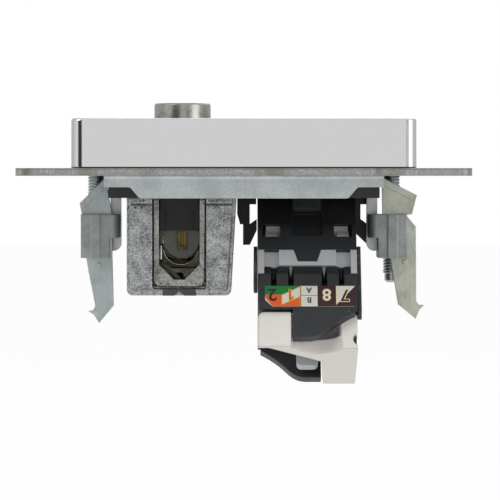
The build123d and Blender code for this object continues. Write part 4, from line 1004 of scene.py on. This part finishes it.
@dataclass
class DataOutlet(SubAssembly):
    """The leaning data outlet with its cap, lock and labels."""

    middle_x: float = 10.35
    tilt: float = 28.0
    face: float = -8.1
    label_left: float = -6.93
    label_right: float = 7.68
    label_low: float = -28.25
    label_high: float = -24.6
    label_rise: float = 0.13
    label_cut: Two = (0.085, 0.437)
    figure_rise: float = 0.012
    font_height: float = 0.7
    slots: tuple[float, ...] = (-5.5, -2.7, 2.7, 5.5)
    slot_half: float = 0.45
    channel_ends: Two = (-24.45, -20.95)
    channel_v: float = -7.35
    channel_depth: float = 0.55
    hole_v: float = -7.75
    hole_w: float = -23.8
    hole_half: float = 0.62
    hole_depth: float = 1.2
    guides: tuple[float, ...] = (-2.7, 2.7)
    guide_half: float = 0.42
    guide_thick: float = 0.25
    guide_length: float = 1.85
    guide_v: float = -7.3
    guide_w: float = -22.75
    tab_half: Two = (2.46, 2.05)
    tab_w: float = -8.85
    tab_sunk: float = 0.05
    tab_crown: float = 0.12
    notch_middle: Two = (8.7, -33.0)
    notch_radius: float = 1.38
    notch_turn: Two = (118, 242)
    notch_flat_u: float = 7.98
    notch_root_u: float = 7.65
    notch_v: float = -1.0
    notch_half: float = 4.95

    def label_points(self, rear: bool) -> tuple[Points, Points]:
        """Give the printed face of a label.

        The left edge is straight, and is cut back in a slope over the lower part.
        The points run evenly from there to the right edge.

        Args:
            rear: Whether it is the label on the far side.

        Returns:
            The points, and their places (s, t) on the label.
        """
        along = np.linspace(0, 1, 25)[None, :]
        across = np.linspace(0, 1, 9)[:, None]
        deepest, cut_top = self.label_cut
        cut = np.clip((cut_top - across) / cut_top, 0, 1) * deepest
        s = cut + along * (1 - cut)
        t = np.broadcast_to(across, s.shape)
        u = self.label_left + s * (self.label_right - self.label_left)
        w = self.label_low + t * (self.label_high - self.label_low)
        sign = -1.0 if rear else 1.0
        return (leaned(grid(sign * u, sign * (self.face - self.label_rise), w)),
                np.stack([s, t], axis=-1))

    def label(self, name: str, ink: LabelInk, rear: bool) -> None:
        """Build one label's printed face.

        Args:
            name: The piece's name.
            ink: Its print.
            rear: Whether it is the label on the far side.
        """
        points, places = self.label_points(rear)
        piece = surface_object(name, points, smooth=False)
        layer = piece.data.uv_layers.new(name="print")
        corners = np.empty(len(piece.data.loops), dtype=np.int32)
        piece.data.loops.foreach_get("vertex_index", corners)
        layer.data.foreach_set("uv", places.reshape(-1, 2)[corners].astype(np.float32).ravel())
        self.add(piece, "socket", "label", ink.material())

    def figure(self, text: str, height: float, grow: float) -> bpy.types.Mesh:
        """Draw one figure in the plain font.

        Args:
            text: The figure.
            height: Its height in millimetres.
            grow: How much its strokes grow, in millimetres.

        Returns:
            Its flat mesh, upright and in millimetres.
        """
        curve = bpy.data.curves.new("figure_curve", "FONT")
        curve.body = text
        curve.size = height / self.font_height
        curve.offset = grow
        writer = bpy.data.objects.new("figure_writer", curve)
        bpy.context.scene.collection.objects.link(writer)
        bpy.context.view_layer.update()
        drawn = writer.evaluated_get(bpy.context.evaluated_depsgraph_get())
        shape = bpy.data.meshes.new_from_object(drawn)
        bpy.data.objects.remove(writer)
        return shape

    @staticmethod
    def one(grow: float) -> bpy.types.Mesh:
        """Draw the figure 1, which the plain font gives no long flag.

        Args:
            grow: How much its outline grows, in millimetres.

        Returns:
            Its flat mesh, upright and in millimetres.
        """
        half, tall, flag = 0.13 + grow, 1.0 + grow, 0.58 + grow
        corners = [(half, -tall, 0), (half, tall, 0), (-0.08 - grow, tall, 0),
                   (-flag, 0.42 + grow * 0.6, 0), (-flag, 0.16 - grow * 1.5, 0),
                   (-half, 0.56 - grow * 1.5, 0), (-half, -tall, 0)]
        shape = bpy.data.meshes.new("figure_one")
        shape.from_pydata(corners, [], [list(range(len(corners)))])
        return shape

    def print_flat(self, name: str, shape: bpy.types.Mesh, place: Two,
                   layer: int, material: Material, rear: bool) -> None:
        """Lay a flat shape on a label, upside down as on the real label.

        Args:
            name: The start of the piece's name.
            shape: The shape's mesh, upright and in millimetres.
            place: Its middle, as (s, t) on the label.
            layer: 1 for ink on the label, 2 and 3 for ink on other ink.
            material: Its ink.
            rear: Whether it is on the far side's label.
        """
        flat = np.empty(len(shape.vertices) * 3)
        shape.vertices.foreach_get("co", flat)
        flat = flat.reshape(-1, 3)
        middle = (flat.min(0) + flat.max(0)) / 2
        width, height = self.label_right - self.label_left, self.label_high - self.label_low
        u = self.label_left + place[0] * width - (flat[:, 0] - middle[0])
        w = self.label_low + place[1] * height - (flat[:, 1] - middle[1])
        v = self.face - self.label_rise - self.figure_rise * layer
        sign = -1.0 if rear else 1.0
        where = leaned(grid(sign * u, sign * v, w)) * MM
        shape.vertices.foreach_set("co", where.ravel())
        shape.update()
        piece = bpy.data.objects.new(f"{name}_{'rear' if rear else 'front'}_{layer}", shape)
        bpy.context.scene.collection.objects.link(piece)
        self.add(piece, "socket", "label", material)

    def labels(self) -> None:
        """Build both labels with their figures."""
        black, white, yellow, red = (
            PlainInk(f"ink_{name}", colour).material() for name, colour in (
                ("black", tone(20, 20, 20)), ("white", tone(222, 220, 208)),
                ("yellow", tone(226, 196, 60)), ("orange_red", tone(206, 78, 30))))
        green, orange = tone(8, 118, 48), tone(224, 92, 22)
        inks = {
            WireColours.FRONT: LabelInk("print_front", green, orange, tone(54, 13, 15)),
            WireColours.REAR: LabelInk("print_rear", orange, green, tone(24, 52, 120)),
        }
        for kind, ink in inks.items():
            rear = kind is WireColours.REAR
            word = kind.name.lower()
            solid = PlainInk(f"ink_solid_{word}", ink.solid).material()
            self.label(f"label_print_{word}", ink, rear)
            first, second, third, fourth = kind.value
            own = second == "1"
            beside = (0.292, 0.55) if own else (0.284, 0.56)
            for text, place, height, grow, layer, material in (
                    (first, (0.082, 0.56), 2.1, 0.06, 1, black),
                    (second, beside, 2.1, 0.09, 1, yellow),
                    (second, beside, 2.1, 0.0 if own else -0.02, 2, red),
                    ("A", (0.488, 0.79), 0.95, 0.03, 1, black),
                    ("B", (0.488, 0.30), 0.95, 0.03, 1, black),
                    (third, (0.684, 0.56), 2.0, 0.09, 1, yellow),
                    (third, (0.684, 0.56), 2.0, 0.03, 2, white),
                    (fourth, (0.882, 0.54), 2.1, 0.14, 1, white),
                    (fourth, (0.882, 0.54), 2.1, 0.06, 2, yellow),
                    (fourth, (0.882, 0.54), 2.1, 0.02, 3, solid)):
                shape = self.one(grow) if text == "1" else self.figure(text, height, grow)
                self.print_flat(f"figure_{text}", shape, place, layer, material, rear)

    def channel(self, u: float) -> Points:
        """Give the bottom of one wire slot: a shallow channel across the slot.

        Its depth is a parabola of the distance from the slot's middle line.

        Args:
            u: The slot's middle.

        Returns:
            Points as (u, v, w), of shape (rows, columns, 3).
        """
        along = np.linspace(*self.channel_ends, 8)[:, None]
        across = np.linspace(-1, 1, 9)[None, :]
        v = self.channel_v + self.channel_depth * (1 - across ** 2)
        return grid(u + self.slot_half * across, v, along)

    def hole(self, u: float) -> Points:
        """Give one wire hole: a deep cup with an oval rim, coloured near black as painted shade.

        The cup shrinks from its rim to a point while it sinks by the square
        root of one less the square of what is left of its radius.

        Args:
            u: The hole's middle.

        Returns:
            Points as (u, v, w), of shape (rows, columns, 3).
        """
        share = np.linspace(1, 0.02, 8)[:, None]
        turn = full_turn(24)
        return grid(u + self.slot_half * share * np.cos(turn),
                    self.hole_v + self.hole_depth * np.sqrt(1 - share ** 2),
                    self.hole_w + self.hole_half * share * np.sin(turn))

    def guide(self, u: float) -> Points:
        """Give the light wedge at the top of a slot: a rod that runs to a point.

        Args:
            u: The wedge's middle.

        Returns:
            Points as (u, v, w), of shape (rows, columns, 3).
        """
        share = np.linspace(1, 0.04, 9)[:, None]
        turn = full_turn(16)
        return grid(u + self.guide_half * share * np.cos(turn),
                    self.guide_v + self.guide_thick * share * np.sin(turn),
                    self.guide_w + self.guide_length * share)

    def tab(self) -> Points:
        """Give the light face of the holder's tab, crowned and turned in at its rim.

        The crown is one less the eighth power of the distance from the middle
        line, times the same along the tab.

        Returns:
            Points as (u, v, w), of shape (rows, columns, 3).
        """
        across = np.linspace(-1, 1, 33)[None, :]
        along = np.linspace(-1, 1, 25)[:, None]
        v = self.face + self.tab_sunk - self.tab_crown * (1 - across ** 8) * (1 - along ** 8)
        return grid(self.tab_half[0] * across, v, self.tab_w + self.tab_half[1] * along)

    def notch_shade_insert(self) -> Points:
        """Give the dark insert in the lock's side notch, which stands in for the dark cap behind
        the notch and paints the shade in it.

        Its section is the lens between the notch's arc and the lock's side,
        and its ends shrink by the square root of a half sine.

        Returns:
            Points as (u, v, w), of shape (rows, columns, 3).
        """
        middle_u, middle_w = self.notch_middle
        turn = np.linspace(*np.radians(self.notch_turn), 15)
        arc_u = middle_u + self.notch_radius * np.cos(turn)
        arc_w = middle_w + self.notch_radius * np.sin(turn)
        flat_w = np.linspace(arc_w[-1], arc_w[0], 8)[1:-1]
        u = np.concatenate([arc_u, np.full(6, self.notch_flat_u)])[None, :]
        w = np.concatenate([arc_w, flat_w])[None, :]
        bulge = np.linspace(0, np.pi, 12)[:, None]
        share = np.sqrt(np.clip(np.sin(bulge), 0.02, 1))
        return grid(self.notch_root_u + (u - self.notch_root_u) * share,
                    self.notch_v - self.notch_half * np.cos(bulge),
                    middle_w + (w - middle_w) * share)

    def turned(self, name: str, points: Points, rear: bool, slot: str,
               material: Material, closed: bool = True) -> None:
        """Build one small piece on the outlet's near or far side.

        Args:
            name: The piece's name.
            points: Its points on the near side, as (u, v, w).
            rear: Whether it goes on the far side.
            slot: The record's material slot.
            material: Its material.
            closed: Whether its columns close round.
        """
        sign = -1.0 if rear else 1.0
        where = leaned(points * np.array([sign, sign, 1.0]))
        self.add(surface_object(name, where, closed), "socket", slot, material)

    def small_pieces(self) -> None:
        """Build the lock's dark insert, which stands in for the dark cap behind its notch and the
        shade in it, and the small pieces of the slots and the tab, whose near-black wire holes are
        painted shade.
        """
        dark, black, grey, pale = (
            Moulding(name, colour, scuff, roughness, dust=dust).material()
            for name, colour, scuff, roughness, dust in (
                ("slot_dark", tone(34, 36, 38), tone(58, 60, 62), 0.5, 0.1),
                ("hole_shade_black", tone(8, 8, 9), tone(20, 20, 21), 0.6, 0.0),
                ("guide_grey", tone(128, 129, 130), tone(160, 161, 162), 0.45, 0.1),
                ("tab_grey", tone(52, 54, 57), tone(74, 76, 80), 0.5, 0.2)))
        # painted shade: a dark sheet in the notch, also standing for the dark cap behind it
        shade_insert = surface_object("lock_notch_shade_insert", leaned(self.notch_shade_insert()), True, True)
        self.add(shade_insert, "lock", "cap_grey", dark)
        for rear in (False, True):
            word = "rear" if rear else "front"
            for number, u in enumerate(self.slots, 1):
                self.turned(f"slot_channel_{word}_{number}", self.channel(u), rear,
                            "cap_grey", dark, False)
                # painted shade: near-black cups in the slots
                self.turned(f"wire_hole_shade_{word}_{number}", self.hole(u), rear, "cap_grey", black)
            for number, u in enumerate(self.guides, 1):
                self.turned(f"slot_guide_{word}_{number}", self.guide(u), rear, "body_grey", grey)
            self.turned(f"holder_tab_{word}", self.tab(), rear, "holder_plastic", pale, False)

    def build(self) -> None:
        """Dress the outlet, and build its labels and small pieces."""
        for nodes, finish in (
                (["rj45_holder"], Moulding(
                    "holder_near_black", tone(10, 12, 15), tone(44, 47, 50),
                    0.5, 0.1, 0.006, 0.15, 0.35, 0.25, lower=tone(32, 34, 38))),
                (["rj45_body", "wire_organiser"], Moulding(
                    "body_light_grey", tone(186, 188, 190), tone(208, 210, 211),
                    0.42, 0.2, 0.006, 0.15, 0.4, 0.2, 0.1)),
                (["wire_cap"], Moulding(
                    "cap_dark_grey", tone(32, 34, 36), tone(64, 66, 68),
                    0.45, 0.1, 0.006, 0.2, 0.4, 0.3)),
                (["cable_lock"], Moulding(
                    "lock_off_white", tone(228, 224, 217), tone(237, 234, 228),
                    0.4, 0.25, 0.004, 0.5, 0.3, 0.0, 0.15)),
                (["shield_left", "shield_right"], SmearedShield(
                    "shield_metallised", tone(40, 40, 40), tone(138, 138, 132))),
                (["rj45_contacts"], TurnedMetal(
                    "spring_gold", tone(222, 184, 96), tone(170, 130, 60), 0.2, 0.3)),
                (["idc_contacts"], TurnedMetal(
                    "fork_tin", tone(186, 186, 182), tone(120, 118, 112), 0.3, 0.2)),
                (["rj45_board"], BoardFinish("data_board_green")),
                (["label_front", "label_rear"], Moulding(
                    "label_paper", tone(210, 208, 198), tone(180, 178, 170),
                    0.5, 0.15, 0.004, 0.03, 0.2, 0.1))):
            self.dress(nodes, finish)
        self.labels()
        self.small_pieces()


@dataclass
class Studio:
    """Floor, lamps, surroundings and camera."""

    camera_distance: float = 454.0
    camera_height: float = 0.5
    focal_pixels: float = 2687.7
    image_pixels: int = 500
    sight_x: float = 243.9
    sight_y: float = 172.6
    floor_height: float = -120.0
    floor_half: float = 4000.0
    room_level: float = 0.8
    opening: Four = (-45, -39, -12, -7)
    opening_height: Two = (0.55, 0.75)
    slit: Four = (14, 17, 22, 25)
    flanks: Two = (60, 110)
    opening_dark: float = 0.94
    slit_dark: float = 0.5
    flank_dark: float = 0.3
    floor_grey: float = 0.86
    floor_glow: float = 0.95

    def camera(self) -> None:
        """Place the camera where the photograph's one stood.

        It looks level at the plate and is turned down and aside by the angle
        that puts the plate's middle on its place in the picture.
        """
        data = bpy.data.cameras.new("camera")
        data.sensor_width = 36.0
        data.lens = self.focal_pixels / self.image_pixels * data.sensor_width
        data.clip_start = 0.01
        down = math.atan((self.image_pixels / 2 - self.sight_y) / self.focal_pixels)
        aside = math.atan((self.image_pixels / 2 - self.sight_x) / self.focal_pixels)
        made = bpy.data.objects.new("camera", data)
        made.location = (0, -self.camera_distance * MM, self.camera_height * MM)
        made.rotation_euler = (math.pi / 2 - down, 0, -aside)
        bpy.context.scene.collection.objects.link(made)
        bpy.context.scene.camera = made

    def lamp(self, name: str, place: Three, size_m: float,
             watts: float) -> None:
        """Add a soft square lamp that points at the part.

        Args:
            name: The lamp's name.
            place: Where it hangs, in metres.
            size_m: Its side in metres.
            watts: Its power.
        """
        data = bpy.data.lights.new(name, "AREA")
        data.size = size_m
        data.energy = watts
        made = bpy.data.objects.new(name, data)
        made.location = place
        made.rotation_euler = (-Vector(place)).to_track_quat("-Z", "Y").to_euler()
        bpy.context.scene.collection.objects.link(made)

    def floor(self) -> None:
        """Lay the pale floor, which stays almost white to the camera."""
        x, y = np.meshgrid(*[np.linspace(-self.floor_half, self.floor_half, 3)] * 2)
        made = surface_object("floor", grid(x, y, self.floor_height))
        graph = Graph("floor_white")
        lit = graph.out("ShaderNodeBsdfDiffuse", {}, {"Color": (self.floor_grey,) * 3})
        glow = graph.out("ShaderNodeEmission", {}, {"Color": (1.0, 1.0, 1.0), "Strength": 1.0})
        share = graph.rays("Camera", "Glossy", "Transmission") * self.floor_glow
        mixed = graph.out("ShaderNodeMixShader", {}, {0: share, 1: lit, 2: glow})
        graph.node("ShaderNodeOutputMaterial", {}, {"Surface": mixed})
        made.data.materials.append(graph.material)

    def surroundings(self) -> None:
        """Make the white room, with one dark opening left of the camera.

        The camera sees plain white. Other rays see white too, except where
        their compass angle from the camera falls inside the opening or the
        half dark slit, and far to the sides, where the room is dimmer.
        """
        world = bpy.data.worlds.new("white_room")
        bpy.context.scene.world = world
        world.use_nodes = True
        graph = Graph("surroundings_scratch")
        bpy.data.materials.remove(graph.material)
        graph.tree = world.node_tree
        graph.tree.nodes.clear()
        x, y, z = graph.axes(graph.out("ShaderNodeTexCoord", output="Generated"))
        compass = x.apply("ARCTAN2", y * -1.0) * (180 / math.pi)
        opening, slit = (compass.rise(*edges[:2]) * (1 - compass.rise(*edges[2:]))
                         for edges in (self.opening, self.slit))
        opening = opening * (1 - z.apply("ABSOLUTE").rise(*self.opening_height))
        flanks = compass.apply("ABSOLUTE").rise(*self.flanks)
        seen = graph.rays("Camera")
        mirrored = graph.rays("Glossy", "Transmission")
        level = (1 - opening * self.opening_dark) * (1 - slit * self.slit_dark)
        level = level * (1 - flanks * self.flank_dark)
        level = level * (mirrored + (1 - mirrored) * self.room_level)
        sockets = {"Color": (1.0, 1.0, 1.0), "Strength": seen + (1 - seen) * level}
        shade = graph.out("ShaderNodeBackground", {}, sockets)
        graph.node("ShaderNodeOutputWorld", {}, {"Surface": shade})

    def build(self) -> None:
        """Set the whole studio up."""
        self.camera()
        self.floor()
        self.surroundings()
        self.lamp("lamp_left", (-0.7, -0.8, 0.75), 0.7, 4.5)
        self.lamp("lamp_right", (0.9, -0.6, 0.3), 0.6, 2.0)
        self.lamp("lamp_back", (0.2, 0.9, 0.8), 0.6, 2.0)
        self.lamp("lamp_low", (0.0, -0.7, -0.6), 0.6, 1.5)
        LOG.info("studio ready")


def main() -> None:
    """Build the studio and every sub-assembly."""
    logging.basicConfig(level=logging.INFO, format="%(name)s: %(message)s")
    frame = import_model()
    bpy.context.scene.view_settings.view_transform = "Standard"
    Studio().build()
    for kind in (PlateAndCover, ClawDrive, TvOutlet, DataOutlet):
        assembly = kind(frame)
        assembly.build()
        LOG.info("%s: %d pieces", kind.__name__, len(assembly.made))


if __name__ == "__main__":
    main()
